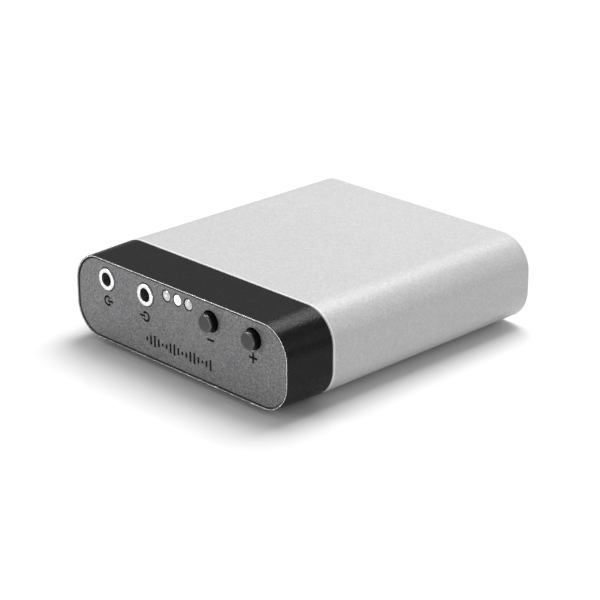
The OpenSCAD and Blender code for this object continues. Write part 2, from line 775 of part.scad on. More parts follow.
module clock_crystals() color("#bfc1c4") in_frame() for (at = crystal_at)
    translate([at[0], at[1], board_top]) {
        for (x = [-3.3, 3.3]) translate([x, 0, 0]) cylinder(h = 0.4, r = 2.3);
        translate([-3.3, -2.3, 0]) cube([6.6, 4.6, 0.4]);
        for (x = [-3.3, 3.3]) translate([x, 0, 0.4 - fit_gap]) cylinder(h = 3.2, r = 1.9);
        translate([-3.3, -1.9, 0.4 - fit_gap]) cube([6.6, 3.8, 3.2]);
    }

module power_inductors() color("#3c3d40") in_frame() for (at = coil_at)
    translate([at[0], at[1], board_top]) {
        translate([-3, -3, 0]) cube([6, 6, 0.7]);
        translate([0, 0, 0.5]) cylinder(h = 2, r = 2.4);
        translate([0, 0, 2.2]) cylinder(h = 0.8, r = 3);
    }

// Rows of chip resistors and capacitors, each [x, y] of the row's first part and its count
module small_board_parts() color("#8b7355") in_frame()
    for (row = [[-27, 30.2, 4], [-14, 30.6, 2], [-25, 43, 5], [4, 44, 3], [-27, 50, 5],
            [6, 50, 7], [8, 56, 3], [-12, 69, 4], [5, 62, 7]])
        for (i = [0:row[2] - 1]) translate([row[0] + i * small_pitch, row[1], board_top]) {
            cube([1.6, 0.8, 0.5]);
            translate([0.25, 0.04, 0.45]) cube([1.1, 0.72, 0.1]);
        }

// ---- Battery -------------------------------------------------------------------------

// Flat pouch cell with rounded long edges
module battery_cell() color("#9fa3a8") in_frame() {
    r = min(2, (cell_top - cell_low) / 2 - fit_gap);
    block([-cell_w / 2 + r, cell_y, cell_low], [cell_w / 2 - r, cell_y + cell_l, cell_top]);
    block([-cell_w / 2, cell_y, cell_low + r], [cell_w / 2, cell_y + cell_l, cell_top - r]);
    for (x = [-cell_w / 2 + r, cell_w / 2 - r], z = [cell_low + r, cell_top - r])
        rod(x, z, r, cell_y, cell_y + cell_l);
}

module battery_guard_board() color("#1f5a36") in_frame()
    block([-guard_w / 2, guard_y, guard_z],
        [guard_w / 2, cell_y, guard_z + (cell_top - cell_low) * guard_h]);

module battery_pad() color("#2a2a2c") in_frame()
    block([-cell_w / 2 + 4, cell_y + 4, wall_t], [cell_w / 2 - 4, cell_y + cell_l - 4, cell_low]);

module insulator_sheet() color("#c8b98e") in_frame()
    block([-cell_w / 2 - 1, cell_y - 1, cell_top], [cell_w / 2 + 1, cell_y + cell_l + 1, sheet_top]);

// Crimp housing on the battery leads, pushed into its socket along x
module battery_plug() color("#e6e2d6") in_frame() difference() {
    block([plug_x, plug_y, plug_z - plug_h / 2], [plug_end, plug_y + plug_w, plug_z + plug_h / 2]);
    translate([plug_x + plug_in + 0.8, plug_y + 1.6, plug_z - plug_h / 2 - cut])
        cube([1, 2.6, cut + 0.8]);
}

module battery_socket() color("#dcd8ca") in_frame() {
    gap = socket_wall + fit_gap;
    difference() {
        block([socket_x, plug_y - gap, plug_z - plug_h / 2 - gap],
            [socket_x + socket_l, plug_y + plug_w + gap, board_low]);
        block([plug_x - fit_gap, plug_y - fit_gap, plug_z - plug_h / 2 - fit_gap],
            [socket_x + socket_l + cut, plug_y + plug_w + fit_gap, plug_z + plug_h / 2 + fit_gap]);
    }
    for (y = [plug_y + 1.3, plug_y + 4.3])
        post(socket_x + 1.5, y, pin_r, board_low - join, board_top + lead_l);
}

// Point of a smooth curve through the route's points: segment i, share t of the way
function on_curve(route, i, t) = let (last = len(route) - 1,
    a = route[max(i - 1, 0)], b = route[i], c = route[i + 1], d = route[min(i + 2, last)])
    b + (c - a) * t / 2 + (2 * a - 5 * b + 4 * c - d) * t * t / 2
        + (3 * b - a - 3 * c + d) * t * t * t / 2;

// The route's points with more points between them
function curve(route) = [for (i = [0:len(route) - 2], k = [0:wire_steps - 1])
    on_curve(route, i, k / wire_steps), route[len(route) - 1]];

function unit(v) = v / norm(v);

// Round wire swept along a route, each ring square to the curve
module wire(route, r) {
    points = curve(route);
    last = len(points) - 1;
    ends = [route[1] - route[0], route[len(route) - 1] - route[len(route) - 2]];
    rings = [for (i = [0:last]) let (
        ahead = unit(i == 0 ? ends[0] : i == last ? ends[1] : points[i + 1] - points[i - 1]),
        side = unit(cross(ahead, [0, 0, 1])), up = cross(side, ahead))
        for (k = [0:wire_sides - 1]) let (a = 360 * k / wire_sides)
            points[i] + r * (cos(a) * side + sin(a) * up)];
    sides = [for (i = [0:last - 1], k = [0:wire_sides - 1]) let (n = (k + 1) % wire_sides)
        [i * wire_sides + k, i * wire_sides + n, (i + 1) * wire_sides + n, (i + 1) * wire_sides + k]];
    start = [for (k = [wire_sides - 1:-1:0]) k];
    finish = [for (k = [0:wire_sides - 1]) last * wire_sides + k];
    polyhedron(points = rings, faces = concat([start], sides, [finish]), convexity = 6);
}

module battery_lead_red() color("#b3201c") in_frame() wire(red_route, wire_r);
module battery_lead_black() color("#151516") in_frame() wire(black_route, wire_r);

// ---- Nodes ---------------------------------------------------------------------------

sleeve();
front_bezel();
front_panel();
panel_tape();
panel_symbols();
bezel_screws();
rear_panel();
rear_screws();
foot(-1, foot_front);  // foot_front_left
foot(1, foot_front);  // foot_front_right
foot(-1, body_d - foot_rear);  // foot_rear_left
foot(1, body_d - foot_rear);  // foot_rear_right
main_board();
jack_ring(jack_x[0]);  // headphone_jack_ring
jack_body(jack_x[0]);  // headphone_jack_body
jack_contacts(jack_x[0]);  // headphone_jack_contacts
jack_ring(jack_x[1]);  // line_in_jack_ring
jack_body(jack_x[1]);  // line_in_jack_body
jack_contacts(jack_x[1]);  // line_in_jack_contacts
led(led_x[0]);  // led_left
led(led_x[1]);  // led_middle
led(led_x[2]);  // led_right
led_holder();
led_leads();
button(key_x[0]);  // minus_button
switch_plunger(key_x[0]);  // minus_switch_plunger
switch_dome(key_x[0]);  // minus_switch_dome
switch_body(key_x[0]);  // minus_switch_body
switch_cover(key_x[0]);  // minus_switch_cover
button(key_x[1]);  // plus_button
switch_plunger(key_x[1]);  // plus_switch_plunger
switch_dome(key_x[1]);  // plus_switch_dome
switch_body(key_x[1]);  // plus_switch_body
switch_cover(key_x[1]);  // plus_switch_cover
usb_socket_shell();
usb_socket_tongue();
usb_socket_contacts();
dac_chip();
usb_chip();
amplifier_chips();
volume_chip();
charger_chip();
capacitor_cans();
capacitor_bases();
film_capacitors();
clock_crystals();
power_inductors();
small_board_parts();
battery_cell();
battery_guard_board();
battery_pad();
insulator_sheet();
battery_lead_red();
battery_lead_black();
battery_plug();
battery_socket();
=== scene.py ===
"""Desktop headphone dac: detailed pieces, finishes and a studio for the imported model."""

import json
import math

import bmesh
import bpy
from bpy.props import FloatProperty, FloatVectorProperty, IntProperty, PointerProperty
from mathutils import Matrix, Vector


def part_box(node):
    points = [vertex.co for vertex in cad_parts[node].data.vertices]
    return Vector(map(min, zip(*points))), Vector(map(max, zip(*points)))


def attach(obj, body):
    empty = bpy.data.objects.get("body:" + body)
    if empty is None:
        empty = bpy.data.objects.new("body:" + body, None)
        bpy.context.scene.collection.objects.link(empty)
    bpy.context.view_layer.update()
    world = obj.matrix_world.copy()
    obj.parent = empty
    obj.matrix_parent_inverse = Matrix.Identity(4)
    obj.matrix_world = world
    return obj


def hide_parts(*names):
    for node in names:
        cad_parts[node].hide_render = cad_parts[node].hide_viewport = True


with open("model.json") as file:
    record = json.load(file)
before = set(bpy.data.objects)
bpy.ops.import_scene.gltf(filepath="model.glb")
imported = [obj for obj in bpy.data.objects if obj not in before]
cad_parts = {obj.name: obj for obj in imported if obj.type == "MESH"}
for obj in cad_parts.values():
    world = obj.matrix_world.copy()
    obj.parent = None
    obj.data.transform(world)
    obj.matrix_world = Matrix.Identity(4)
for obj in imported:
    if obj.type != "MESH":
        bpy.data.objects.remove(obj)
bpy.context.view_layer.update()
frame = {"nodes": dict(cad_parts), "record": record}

bl_info = {
    "name": "Desktop Headphone Dac",
    "version": (1, 0, 0),
    "blender": (4, 5, 0),
    "location": "View3D > Sidebar > Dac",
    "description": "Builds the pieces, finishes and studio of a small headphone dac",
    "category": "Add Mesh",
}

MM = 0.001

# Places that the pieces share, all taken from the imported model
SLEEVE_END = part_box("sleeve")[0].y
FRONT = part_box("front_bezel")[0].y
BODY_OF = {
    node: body
    for body, nodes in frame["record"]["behaviour"]["bodies"].items()
    for node in nodes
}

# Radius of the housing's corners, and how far back from its front each part's cut goes
CORNER = 9 * MM
SLEEVE_CUT = 0.45 * MM
BEZEL_CUT = 0.09 * MM

# Where the bezel's bright rim and the wall inside it lie, inwards from its outline
RIM_START = 0.1 * MM
RIM_END = 0.36 * MM
WALL_START = 0.42 * MM

# Width over which one part of a finish fades into the next
CRISP = 0.02 * MM
FIRM = 0.05 * MM
SOFT = 0.1 * MM

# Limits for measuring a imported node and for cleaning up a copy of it
SAME_PLACE = 0.02 * MM
MERGE_DISTANCE = 1e-6
FLAT_ANGLE = math.radians(0.6)
EDGE_ANGLE = math.radians(33)
SHADE_ANGLE = math.radians(40)

# Fineness and depth of the turned and threaded shapes
FILLET_STEPS = 6
DOME_STEPS = 12
THREAD_DEPTH = 0.14 * MM


# --- Node trees -------------------------------------------------------------------------


class Signal:
    """A float socket in an expression: each operator adds the Math node it stands for."""

    def __init__(self, sheet, socket):
        self.sheet = sheet
        self.socket = socket

    def math(self, operation, *values, clamp=False):
        settings = {"operation": operation, "use_clamp": clamp}
        made = self.sheet.node("ShaderNodeMath", settings, dict(enumerate(values)))
        return Signal(self.sheet, made.outputs[0])

    def __add__(self, other):
        return self.math("ADD", self, other)

    def __radd__(self, other):
        return self.math("ADD", other, self)

    def __sub__(self, other):
        return self.math("SUBTRACT", self, other)

    def __rsub__(self, other):
        return self.math("SUBTRACT", other, self)

    def __mul__(self, other):
        return self.math("MULTIPLY", self, other)

    def __rmul__(self, other):
        return self.math("MULTIPLY", other, self)

    def __truediv__(self, other):
        return self.math("DIVIDE", self, other)

    def __rtruediv__(self, other):
        return self.math("DIVIDE", other, self)

    def __pow__(self, other):
        return self.math("POWER", self, other)

    def __abs__(self):
        return self.math("ABSOLUTE", self)

    def root(self):
        return self.math("SQRT", self)

    def fraction(self):
        return self.math("FRACT", self)

    def clamped(self):
        return self.math("ADD", self, 0.0, clamp=True)

    def above(self, limit, soft):
        """0 below the limit and 1 above it, with a ramp of the soft width centred on it."""
        return ((self - (limit - soft / 2)) / soft).clamped()

    def below(self, limit, soft):
        """1 below the limit and 0 above it."""
        return 1 - self.above(limit, soft)

    def band(self, low, high, soft):
        """1 between two limits and 0 outside them."""
        return self.above(low, soft) * self.below(high, soft)


class NodeSheet:
    """A node tree under construction, with the one method that adds any node."""

    def __init__(self, tree):
        self.tree = tree
        tree.nodes.clear()

    def feed(self, socket, value):
        if isinstance(value, Signal):
            value = value.socket
        if isinstance(value, bpy.types.NodeSocket):
            self.tree.links.new(value, socket)
        else:
            socket.default_value = value

    def node(self, kind, settings=None, inputs=None):
        """Adds a node, makes its settings and then fills or links its sockets."""
        made = self.tree.nodes.new(kind)
        for name, value in (settings or {}).items():
            setattr(made, name, value)
        for name, value in (inputs or {}).items():
            self.feed(made.inputs[name], value)
        return made

    def signal(self, kind, settings=None, inputs=None, output=0):
        """Adds a node and returns one of its float outputs, ready for an expression."""
        return Signal(self, self.node(kind, settings, inputs).outputs[output])


class Finish(NodeSheet):
    """A material for one of the dac's finishes."""

    def __init__(self, name, colour, roughness, **constants):
        self.material = bpy.data.materials.new(name)
        self.material.use_nodes = True
        super().__init__(self.material.node_tree)
        self.shader = self.node("ShaderNodeBsdfPrincipled")
        self.colour = colour
        self.set(Base_Color=(*colour, 1.0), Roughness=roughness, **constants)
        self.node("ShaderNodeOutputMaterial", None, {"Surface": self.shader.outputs[0]})
        self.place = self.node("ShaderNodeTexCoord").outputs["Object"]
        split = self.node("ShaderNodeSeparateXYZ", None, {0: self.place})
        self.x, self.y, self.z = (Signal(self, socket) for socket in split.outputs)

    def set(self, **values):
        """Fills or links sockets of the shader, named with _ for each space."""
        for name, value in values.items():
            self.feed(self.shader.inputs[name.replace("_", " ")], value)

    def noise(self, grain, detail=2.0, vector=None, distortion=0.0):
        """A soft random pattern whose blotches are about one grain wide."""
        return self.signal("ShaderNodeTexNoise", None, {
            "Vector": vector or self.place, "Scale": 1 / grain, "Detail": detail,
            "Distortion": distortion})

    def flecks(self, grain):
        """A random value for each cell of about one grain."""
        cells = self.node("ShaderNodeTexVoronoi", None,
                          {"Vector": self.place, "Scale": 1 / grain})
        return self.signal("ShaderNodeSeparateColor", None, {0: cells.outputs["Color"]})

    def cells(self, grain):
        """Distance from the middle of cells of about one grain."""
        return self.signal("ShaderNodeTexVoronoi", None,
                           {"Vector": self.place, "Scale": 1 / grain})

    def stretched(self, x=1.0, y=1.0, z=1.0):
        """Object coordinates drawn out along some axes, for brushed or drawn surfaces."""
        return self.node("ShaderNodeMapping", None,
                         {"Vector": self.place, "Scale": (x, y, z)}).outputs[0]

    def inset(self, low, high, corner):
        """Distance inwards, in X and Z, from a rounded outline."""
        middle, half = (low + high) / 2, (high - low) / 2
        across = abs(self.x - middle.x) - (half.x - corner)
        along = abs(self.z - middle.z) - (half.z - corner)
        wide = across.math("MAXIMUM", across, 0.0)
        tall = across.math("MAXIMUM", along, 0.0)
        inner = across.math("MINIMUM", across.math("MAXIMUM", across, along), 0.0)
        return corner - (wide * wide + tall * tall).root() - inner

    def attribute(self, name):
        """A float that the piece's mesh carries."""
        return self.signal("ShaderNodeAttribute", {"attribute_name": name},
                           output="Fac")

    def shade(self, factor, first, second):
        """A colour between two others, each a triple or a socket."""
        pair = [value if isinstance(value, bpy.types.NodeSocket) else (*value, 1.0)
                for value in (first, second)]
        return self.node("ShaderNodeMix", {"data_type": "RGBA"},
                         {0: factor, 6: pair[0], 7: pair[1]}).outputs[2]

    def tones(self, factor, dark, light):
        """A blend from a darker to a lighter tone of the finish's own colour."""
        return self.shade(factor, times(self.colour, dark), times(self.colour, light))

    def bump(self, height, depth):
        """Relief of the given depth, in metres, on the shader's normal."""
        made = self.node("ShaderNodeBump", None, {"Height": height, "Distance": depth})
        self.set(Normal=made.outputs[0])


def times(colour, factor):
    """A colour made lighter or darker."""
    return tuple(min(1.0, value * factor) for value in colour)


def corners_of(points):
    """The lowest and highest corners of the box round some points."""
    return tuple(Vector([pick(point[axis] for point in points) for axis in range(3)])
                 for pick in (min, max))


# --- Finishes ---------------------------------------------------------------------------


def blasted_metal(name, colour, roughness, grain, contrast, metallic, cut=None,
                  plate=None):
    """Bead-blasted and anodised aluminium, bright where an edge was cut afterwards.

    The cut is the depth along Y at which it ends. The plate argument names a node on whose
    outer edge, on its upper half, a painted shadow of the wall that it sits against is
    laid.
    """
    look = Finish(name, colour, roughness, Metallic=metallic, Specular_IOR_Level=0.45)
    pits = look.noise(grain, 3.0)
    sparkle = look.flecks(grain * 1.1)
    cloud = look.noise(grain * 45, 2.0)
    glint = sparkle.above(0.93, 0.1)
    level = (pits - 0.5) * 2.4 + (sparkle - 0.5) * 0.8 + (cloud - 0.5) * 0.3 + 0.5
    level = level.clamped()
    body = look.tones(level, 1 - contrast, 1 + contrast)
    body = look.shade(glint * 0.4, body, times(colour, 1 + 2 * contrast))
    rough = roughness + (pits - 0.5) * 0.16 - glint * 0.1
    if cut is not None:
        bright = look.y.below(cut, CRISP)
        body = look.shade(bright, body, times(colour, 1.8))
        rough = rough * (1 - bright) + bright * 0.24
    if plate is not None:
        low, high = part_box(plate)
        reach = high.z - (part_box("front_bezel")[1].z - CORNER)
        # Painted shadow: a dark band along the plate's outer edge, on its upper half only,
        # as shade cast by the wall that the plate sits against.
        painted_rim_shadow = look.inset(low, high, reach).below(0.3 * MM, SOFT)
        painted_rim_shadow = painted_rim_shadow * look.z.above((low.z + high.z) / 2, 8 * MM)
        body = look.shade(painted_rim_shadow * 0.92, body, (0.004, 0.004, 0.004))
    look.set(Base_Color=body, Roughness=rough)
    look.bump(pits + sparkle * 0.35, grain * 0.16)
    return look


def plated_metal(name, colour, roughness, streak=(1.0, 1.0, 1.0)):
    """Plated or drawn metal with faint tool marks and smears, drawn out by the streak."""
    grain = 0.12 * MM
    look = Finish(name, colour, roughness, Metallic=1.0)
    marks = look.noise(grain, 3.0, look.stretched(*streak))
    smear = look.noise(grain * 16, 2.0)
    look.set(Base_Color=look.tones(smear, 0.9, 1.06),
             Roughness=roughness + (marks - 0.5) * 0.12 + (smear - 0.5) * 0.08)
    look.bump(marks, grain * 0.05)
    return look


def moulded_plastic(name, colour, roughness, texture=0.1 * MM):
    """Moulded plastic with a fine spark-eroded texture and slight flow clouds."""
    look = Finish(name, colour, roughness, Specular_IOR_Level=0.5)
    fine = look.noise(texture, 2.0)
    cloud = look.noise(texture * 30, 2.0, distortion=0.6)
    look.set(Base_Color=look.tones(cloud, 0.88, 1.12),
             Roughness=roughness + (fine - 0.5) * 0.1 + (cloud - 0.5) * 0.06)
    look.bump(fine, texture * 0.04)
    return look


def key_cap(name, colour):
    """Black key whose face is painted paler, as lit from the front, and whose sides are
    painted dark, as shaded, with a glossy rounded edge.
    """
    look = Finish(name, colour, 0.3, IOR=1.25, Coat_Roughness=0.1, Coat_IOR=1.9)
    key = Turning("minus_button")
    radius = look.attribute("turned_radius")
    brim = key.radii(key.high.y)[1] - bpy.context.scene.dac_sizes.key_rounding
    front = look.y.below(key.low.y + 0.5 * MM, CRISP)
    # Painted light: the face is painted lighter, as lit from the front, and the sides dark,
    # as shade.
    face = radius.below(brim, FIRM) * front
    edge = radius.above(brim, FIRM) * front
    fine = look.noise(0.16 * MM, 3.0)
    lit_mottled = look.noise(1.1 * MM, 2.0)
    # Tones for the painted shade of the sides and the painted light of the face, each
    # mottled.
    side = look.tones(fine, 0.04, 0.12)
    painted_lit_face = look.tones(fine * 0.6 + lit_mottled * 0.4, 0.85, 1.15)
    look.set(Base_Color=look.shade(face, side, painted_lit_face), Roughness=0.3 + (fine - 0.5) * 0.16,
             Coat_Weight=edge)
    look.bump(fine, 0.012 * MM)
    return look


def anodised_black(name, colour, cut_depth=None, cut_colour=None):
    """Black anodised aluminium with a satin grain.

    Its front rim may be bright-cut up to a depth along Y, with the wall inside the rim.
    """
    look = Finish(name, colour, 0.3, IOR=1.22)
    pits = look.noise(0.6 * MM, 3.0)
    cloud = look.noise(6 * MM, 2.0)
    fleck = look.flecks(0.45 * MM).above(0.8, 0.2) * cloud.above(0.45, 0.3)
    body = look.tones(pits * 0.7 + cloud * 0.3, 0.6, 1.6)
    body = look.shade(fleck * 0.5, body, times(colour, 2.5))
    rough = 0.3 + (pits - 0.5) * 0.3
    if cut_depth is not None:
        bezel = frame["nodes"]["front_bezel"].data.vertices
        low, high = corners_of([vert.co for vert in bezel
                                if abs(vert.co.y - FRONT) < SAME_PLACE])
        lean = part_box("front_bezel")[1].x - high.x
        inset = look.inset(low, high, CORNER - lean)
        rim = inset.band(RIM_START, RIM_END, FIRM) * look.y.below(cut_depth, 0.01 * MM)
        wall = inset.above(WALL_START, CRISP) * look.y.below(FRONT + 1 * MM, SOFT)
        bright = rim.math("MAXIMUM", rim, wall * 0.8)
        marks = look.noise(0.05 * MM, 2.0)
        body = look.shade(bright, body, cut_colour)
        rough = rough * (1 - bright) + bright * (0.18 + marks * 0.08)
        look.set(Metallic=bright)
    look.set(Base_Color=body, Roughness=rough)
    look.bump(pits, 0.08 * MM)
    return look


def epoxy_lens(name, colour, glow, strength):
    """Water-clear epoxy of an indicator light, over its reflector cup.

    The cup, its lip, drawn as a darker ring, and the die follow the distance from the
    light's axis. Towards its edge the lens is painted darker, and its outermost ring almost
    black, as painted shade of the hole's wall round it.
    """
    look = Finish(name, colour, 0.16, Specular_IOR_Level=0.6, Coat_Weight=1.0,
                  Coat_Roughness=0.04)
    radius = look.attribute("turned_radius") / MM
    lip = radius.band(0.84, 1.0, 0.1)
    cup = radius.below(0.84, 0.2)
    die = radius.below(0.3, 0.16)
    mottle = look.noise(0.3 * MM, 2.0)
    body = look.shade(cup * 0.4, colour, times(colour, 0.7))
    body = look.shade(lip * 0.6, body, times(colour, 0.55))
    body = look.shade(die, body, times(colour, 1.2))
    # Painted shade: the lens is darkened towards its edge, where the hole's wall shades it.
    body = look.shade(radius.above(1.3, 0.1) * 0.5, body, times(colour, 0.6))
    body = look.shade(mottle * 0.15, body, times(colour, 1.1))
    # Painted shade: the outermost ring is almost black, standing in for the shaded wall of
    # the hole round the lens; the lit light does not glow there either.
    rim = radius.above(1.34, 0.04)
    body = look.shade(rim, body, times(colour, 0.04))
    look.set(Base_Color=body, Roughness=0.14 + mottle * 0.08)
    look.bump(mottle, 0.01 * MM)
    if strength > 0:
        fall = radius.below(1.3, 0.9)
        shine = look.shade(fall, times(glow, 0.72), glow)
        look.set(Emission_Color=look.shade(rim, shine, (0.0, 0.0, 0.0)),
                 Emission_Strength=strength)
    return look


def circuit_board(name, colour):
    """Green solder mask over copper tracks, with tinned vias."""
    look = Finish(name, colour, 0.3, Specular_IOR_Level=0.5)
    lanes = (look.y / (1.27 * MM) + look.noise(9 * MM, 0.0) * 5).fraction()
    cross = (look.x / (2.1 * MM) + look.noise(14 * MM, 0.0) * 4).fraction()
    track = lanes.band(0.3, 0.62, 0.08) * look.noise(7 * MM, 0.0).above(0.47, 0.02)
    rail = cross.band(0.35, 0.55, 0.06) * look.noise(10 * MM, 0.0).above(0.55, 0.02)
    copper = track.math("MAXIMUM", track, rail)
    spot = look.cells(2.6 * MM)
    via = spot.below(0.13, 0.03)
    # Painted shade: each via's hole is a black spot, standing in for the shade inside a
    # drilled hole.
    painted_hole_shade = spot.below(0.06, 0.02)
    weave = look.noise(0.3 * MM, 2.0)
    mask = look.shade(copper * 0.8, colour, times(colour, 1.9))
    mask = look.shade(weave * 0.3, mask, times(colour, 0.7))
    mask = look.shade(via, mask, (0.72, 0.6, 0.32))
    look.set(Base_Color=look.shade(painted_hole_shade, mask, (0.02, 0.02, 0.02)), Metallic=via,
             Roughness=0.28 + weave * 0.12)
    look.bump(copper * 0.6 + via, 0.03 * MM)
    return look


def printed_chip(name, colour):
    """Black moulded chip with a fine matte grain and faint flow clouds."""
    look = Finish(name, colour, 0.55, Specular_IOR_Level=0.4)
    fine = look.noise(0.06 * MM, 3.0)
    flow = look.noise(1.6 * MM, 2.0, distortion=1.2)
    look.set(Base_Color=look.tones(fine * 0.6 + flow * 0.4, 0.7, 1.6),
             Roughness=0.5 + (fine - 0.5) * 0.2)
    look.bump(fine, 0.008 * MM)
    return look


def foil_pouch(name, colour):
    """Aluminium laminate pouch of the battery cell, softly wrinkled."""
    look = Finish(name, colour, 0.36, Metallic=0.85)
    wrinkle = look.noise(5 * MM, 4.0, look.stretched(1.0, 0.5, 1.0), 0.8)
    fine = look.noise(0.25 * MM, 2.0)
    crease = abs(look.noise(11 * MM, 3.0, distortion=1.0) - 0.5).below(0.02, 0.03)
    look.set(Base_Color=look.tones(wrinkle, 0.82, 1.1),
             Roughness=0.34 + (fine - 0.5) * 0.12 + crease * 0.08)
    look.bump(wrinkle + crease * 0.25 + fine * 0.03, 0.22 * MM)
    return look


def fibre_sheet(name, colour, grain, depth, roughness=0.8):
    """Paper, tape, foam or rubber: a matte body of fibres or cells."""
    look = Finish(name, colour, roughness, Specular_IOR_Level=0.2)
    fibres = look.noise(grain, 4.0, look.stretched(1.0, 0.35, 1.0), 0.5)
    pores = look.cells(grain * 1.5)
    look.set(Base_Color=look.tones(fibres * 0.7 + pores * 0.3, 0.78, 1.22),
             Roughness=roughness + (fibres - 0.5) * 0.14)
    look.bump(fibres + pores * 0.5, depth)
    return look


def cable_jacket(name, colour):
    """Smooth insulation of a lead with faint extrusion lines."""
    look = Finish(name, colour, 0.38, Specular_IOR_Level=0.5)
    lines = look.noise(0.15 * MM, 2.0, look.stretched(1.0, 0.1, 1.0))
    dust = look.noise(1.2 * MM, 2.0)
    look.set(Base_Color=look.tones(dust, 0.85, 1.12),
             Roughness=0.34 + lines * 0.12)
    look.bump(lines, 0.01 * MM)
    return look


def make_finish(slot, name):
    """Builds the finish of one of the record's material slots from its recipe."""
    colours = bpy.context.scene.dac_finishes
    grain, bezel, light = colours.grain, tuple(colours.bezel), tuple(colours.light)
    recipes = {
        "sleeve_metal": (blasted_metal, tuple(colours.sleeve), 0.42, grain, 0.09, 0.04,
                         SLEEVE_END + SLEEVE_CUT),
        "bezel_black": (anodised_black, bezel, FRONT + BEZEL_CUT,
                        tuple(colours.bright_cut)),
        # The front panel carries a painted shadow along its upper edge, cast by the bezel's
        # wall.
        "panel_grey": (blasted_metal, tuple(colours.panel), 0.5, grain * 0.66, 0.42, 0.25,
                       None, "front_panel"),
        "rear_black": (anodised_black, bezel),
        "nickel": (plated_metal, tuple(colours.ring), 0.26),
        "screw_steel": (plated_metal, (0.42, 0.42, 0.43), 0.3),
        "contact_gold": (plated_metal, (0.86, 0.64, 0.3), 0.24),
        "lead_tin": (plated_metal, (0.68, 0.68, 0.7), 0.34),
        "plated_sheet": (plated_metal, (0.7, 0.7, 0.72), 0.27, (1, 0.15, 1)),
        "can_aluminium": (plated_metal, (0.8, 0.8, 0.82), 0.3, (1, 1, 0.1)),
        "key_black": (key_cap, tuple(colours.key)),
        # Blacker than the plastic itself would be: its own black, darkened further as
        # painted shade so that the jacks' bores read as deep shade.
        "jack_plastic": (moulded_plastic, (0.003, 0.003, 0.0032), 0.7),
        "switch_plastic": (moulded_plastic, (0.03, 0.03, 0.032), 0.5),
        "connector_ivory": (moulded_plastic, (0.72, 0.66, 0.52), 0.42),
        "chip_black": (printed_chip, (0.022, 0.022, 0.024)),
        "film_red": (moulded_plastic, (0.42, 0.035, 0.025), 0.3, 0.2 * MM),
        "ferrite": (fibre_sheet, (0.075, 0.075, 0.08), 0.12 * MM, 0.02 * MM, 0.7),
        "ceramic": (fibre_sheet, (0.36, 0.24, 0.15), 0.08 * MM, 0.006 * MM, 0.5),
        "led_clear": (epoxy_lens, light, light, 0.0),
        "led_lit": (epoxy_lens, light, (1.0, 1.0, 1.0), colours.glow),
        "board_green": (circuit_board, (0.012, 0.1, 0.04)),
        "cell_foil": (foil_pouch, (0.7, 0.7, 0.72)),
        "foam": (fibre_sheet, (0.05, 0.05, 0.055), 0.35 * MM, 0.12 * MM, 0.9),
        "tape": (fibre_sheet, (0.5, 0.5, 0.47), 0.3 * MM, 0.02 * MM, 0.6),
        "fish_paper": (fibre_sheet, (0.04, 0.2, 0.085), 0.4 * MM, 0.02 * MM, 0.7),
        "foot_rubber": (fibre_sheet, (0.022, 0.022, 0.023), 0.12 * MM, 0.02 * MM),
        "ink": (fibre_sheet, (0.002, 0.002, 0.002), 0.1 * MM, 0.004 * MM, 0.9),
        "wire_red": (cable_jacket, (0.55, 0.02, 0.015)),
        "wire_black": (cable_jacket, (0.015, 0.015, 0.016)),
    }
    maker, *values = recipes[slot]
    return maker(name, *values).material


def finish(slot):
    """The material of a slot, made the first time that it is wanted."""
    name = "dac_" + slot
    return bpy.data.materials.get(name) or make_finish(slot, name)


# --- Meshes -----------------------------------------------------------------------------


def place_piece(name, mesh, slot, *nodes, extra=()):
    """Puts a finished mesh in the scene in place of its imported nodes, on their body."""
    piece = bpy.data.objects.new(name, mesh)
    bpy.context.scene.collection.objects.link(piece)
    mesh.materials.clear()
    for material_slot in (slot, *extra):
        mesh.materials.append(finish(material_slot))
    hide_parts(*nodes)
    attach(piece, BODY_OF[nodes[0]])
    return piece


def cleaned(node):
    """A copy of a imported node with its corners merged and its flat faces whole."""
    shape = bmesh.new()
    shape.from_mesh(frame["nodes"][node].data)
    bmesh.ops.remove_doubles(shape, verts=shape.verts, dist=MERGE_DISTANCE)
    bmesh.ops.dissolve_limit(shape, angle_limit=FLAT_ANGLE, verts=shape.verts,
                             edges=shape.edges)
    for face in shape.faces:
        face.smooth = True
    return shape


def islands(shape):
    """The separate solids in a shape, each as its faces and its box's two corners."""
    left = set(shape.faces)
    found = []
    while left:
        group, front = set(), [next(iter(left))]
        while front:
            face = front.pop()
            if face in left:
                left.discard(face)
                group.add(face)
                front += [other for edge in face.edges for other in edge.link_faces]
        points = [vert.co for face in group for vert in face.verts]
        found.append((group, *corners_of(points)))
    return sorted(found, key=lambda item: tuple(round(value, 6) for value in item[1]))


def refine(node, slot, edge, paint=None, extra=()):
    """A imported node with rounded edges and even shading.

    The edge is the width of the rounding. A paint function may give faces of the cleaned
    shape the index of an extra slot.
    """
    shape = cleaned(node)
    if paint:
        paint(shape)
    mesh = bpy.data.meshes.new(node + "_detail")
    shape.to_mesh(mesh)
    shape.free()
    piece = place_piece(node + "_detail", mesh, slot, node, extra=extra)
    rounding = piece.modifiers.new("Rounded edges", "BEVEL")
    rounding.width = edge
    rounding.segments = 2
    rounding.limit_method = "ANGLE"
    rounding.angle_limit = EDGE_ANGLE
    rounding.use_clamp_overlap = False
    piece.modifiers.new("Even shading", "WEIGHTED_NORMAL").weight = 60


